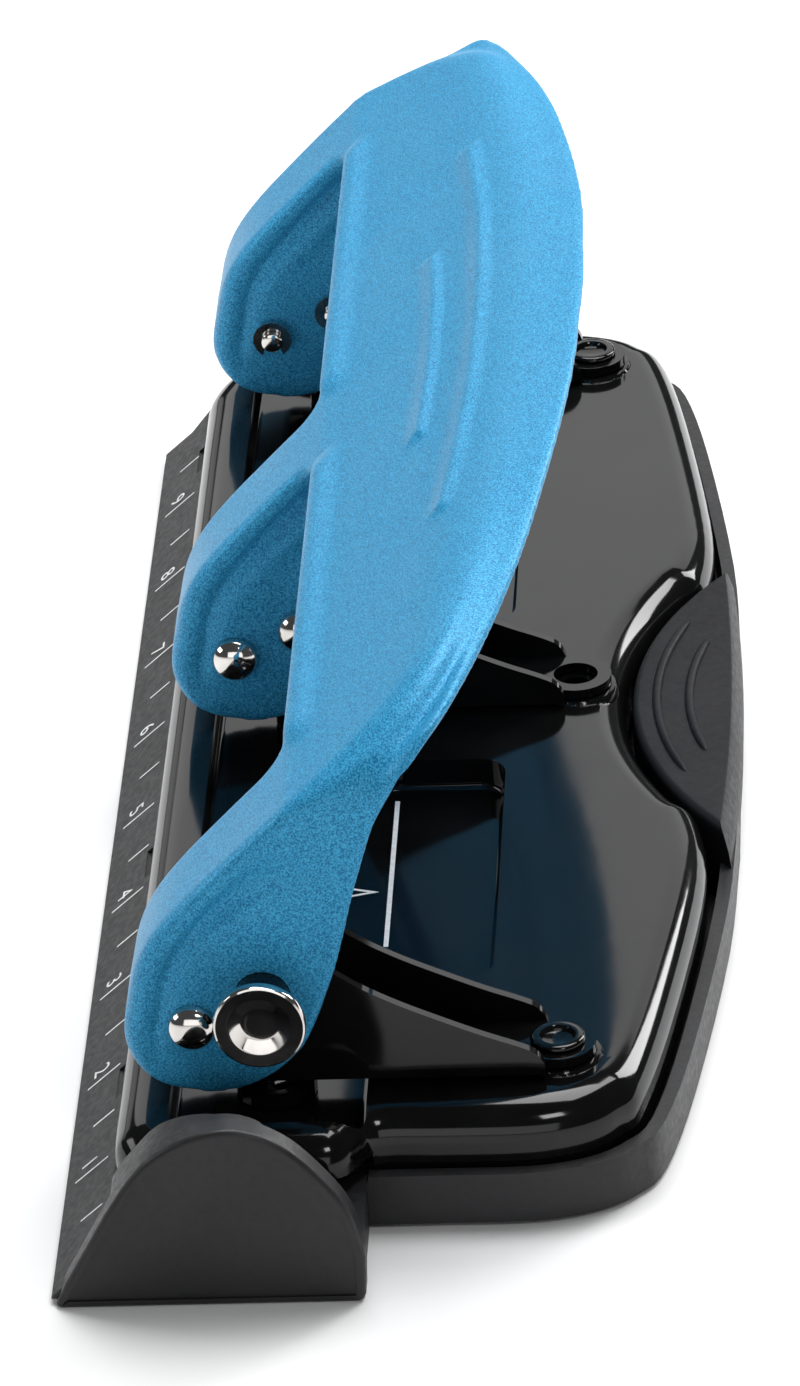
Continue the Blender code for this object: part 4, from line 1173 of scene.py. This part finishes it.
# name, place, what it faces, size, watts
LIGHTS = (("overhead", (-0.25, 0.10, 0.85), (-0.03, 0.0, 0.03), (0.7, 0.5), 9.0),
          ("left_bank", (0.05, -0.75, 0.35), (0, 0, 0.04), (0.7, 0.22), 1.6),
          ("right_strip", (-0.55, 0.55, 0.45), (0, 0, 0.03), (0.25, 0.5), 4.4),
          ("front_box", (0.62, 0.28, 0.62), (0.1, 0, 0.02), (0.16, 0.16), 1.0),
          ("rim_card", (-0.85, -0.75, 0.14), (0, 0, 0.04), (0.7, 0.22), 0.3),
          ("front_card", (1.3, 0.0, 0.28), (0, 0, 0.03), (1.2, 0.5), 2.6),
          ("back_card", (-1.0, -0.05, 0.50), (0, 0, 0.03), (1.2, 0.45), 2.2))
CAMERA_ELEVATION = math.radians(28.5)
CAMERA_YAW = math.radians(3.89)
CAMERA_ROLL = math.radians(-3.35)
CAMERA_PLACE = Vector((1.0707, 0.1261, 0.6784))  # metres from the tray frame's zero
CAMERA_SENSOR = 36.0      # millimetres
CAMERA_LENS = 238.3
CAMERA_REACH = 20.0       # metres


def soft_light(name, spot, aim, size, power):
    """Rectangular light at spot that faces aim; metres and watts."""
    lamp = bpy.data.lights.new(name, "AREA")
    lamp.shape = "RECTANGLE"
    lamp.size, lamp.size_y = size
    lamp.energy = power
    holder = linked(name, lamp)
    holder.location = spot
    holder.rotation_mode = "QUATERNION"
    holder.rotation_quaternion = (Vector(aim) - Vector(spot)).to_track_quat("-Z", "Y")


def studio():
    """Pale floor, dim cool surround and the soft lights; metres."""
    edge = FLOOR_HALF
    floor = solid("floor", [(-edge, -edge, 0), (edge, -edge, 0), (edge, edge, 0), (-edge, edge, 0)],
                  [(0, 1, 2, 3)])
    paper = Finish("paper_sweep", (0.90, 0.90, 0.90), 0.9)
    paper.vary("Base Color", (3.0, 2.0), 0.89, 0.92)
    floor.data.materials.append(paper.material)
    world = bpy.data.worlds.new("studio")
    world.use_nodes = True
    surround = world.node_tree.nodes["Background"].inputs
    surround["Color"].default_value = SURROUND_COLOUR
    surround["Strength"].default_value = SURROUND_STRENGTH
    bpy.context.scene.world = world
    bpy.context.scene.view_settings.view_transform = "Standard"
    for light in LIGHTS:
        soft_light(*light)


def camera():
    """Long lens above the table, looking along the row from the stop's end."""
    level = math.cos(CAMERA_ELEVATION)
    look = Vector((-level * math.cos(CAMERA_YAW), -level * math.sin(CAMERA_YAW),
                   -math.sin(CAMERA_ELEVATION)))
    right = look.cross(Vector((0, 0, 1))).normalized()
    up = right.cross(look)
    side = math.cos(CAMERA_ROLL) * right + math.sin(CAMERA_ROLL) * up
    top = -math.sin(CAMERA_ROLL) * right + math.cos(CAMERA_ROLL) * up
    lens = bpy.data.cameras.new("camera")
    lens.sensor_width = CAMERA_SENSOR
    lens.lens = CAMERA_LENS
    lens.clip_end = CAMERA_REACH
    holder = linked("camera", lens)
    turn = Matrix((side, top, -look)).transposed()
    holder.matrix_world = Matrix.Translation(ORIGIN + CAMERA_PLACE) @ turn.to_4x4()
    bpy.context.scene.camera = holder


# ---- the whole scene
tray()
thumb_pad()
ruler()
cover()
registration_marks()
handle()
knob()
knob_sleeve()
for station, centre in STATIONS.items():
    bracket(station, centre)
    facing = -1 if station == "far" else 1
    headed_pin("pivot_turned_" + station, centre, PIVOT, 1.75, facing, "press_frame",
               ["pivot_pin_" + station])
    if station != "near":
        headed_pin("drive_turned_" + station, centre, DRIVE, 1.5, facing, "handle_arm",
                   ["drive_pin_" + station])
    if station != "mid":
        screw(station, centre)
paint_cad_nodes()
studio()
camera()
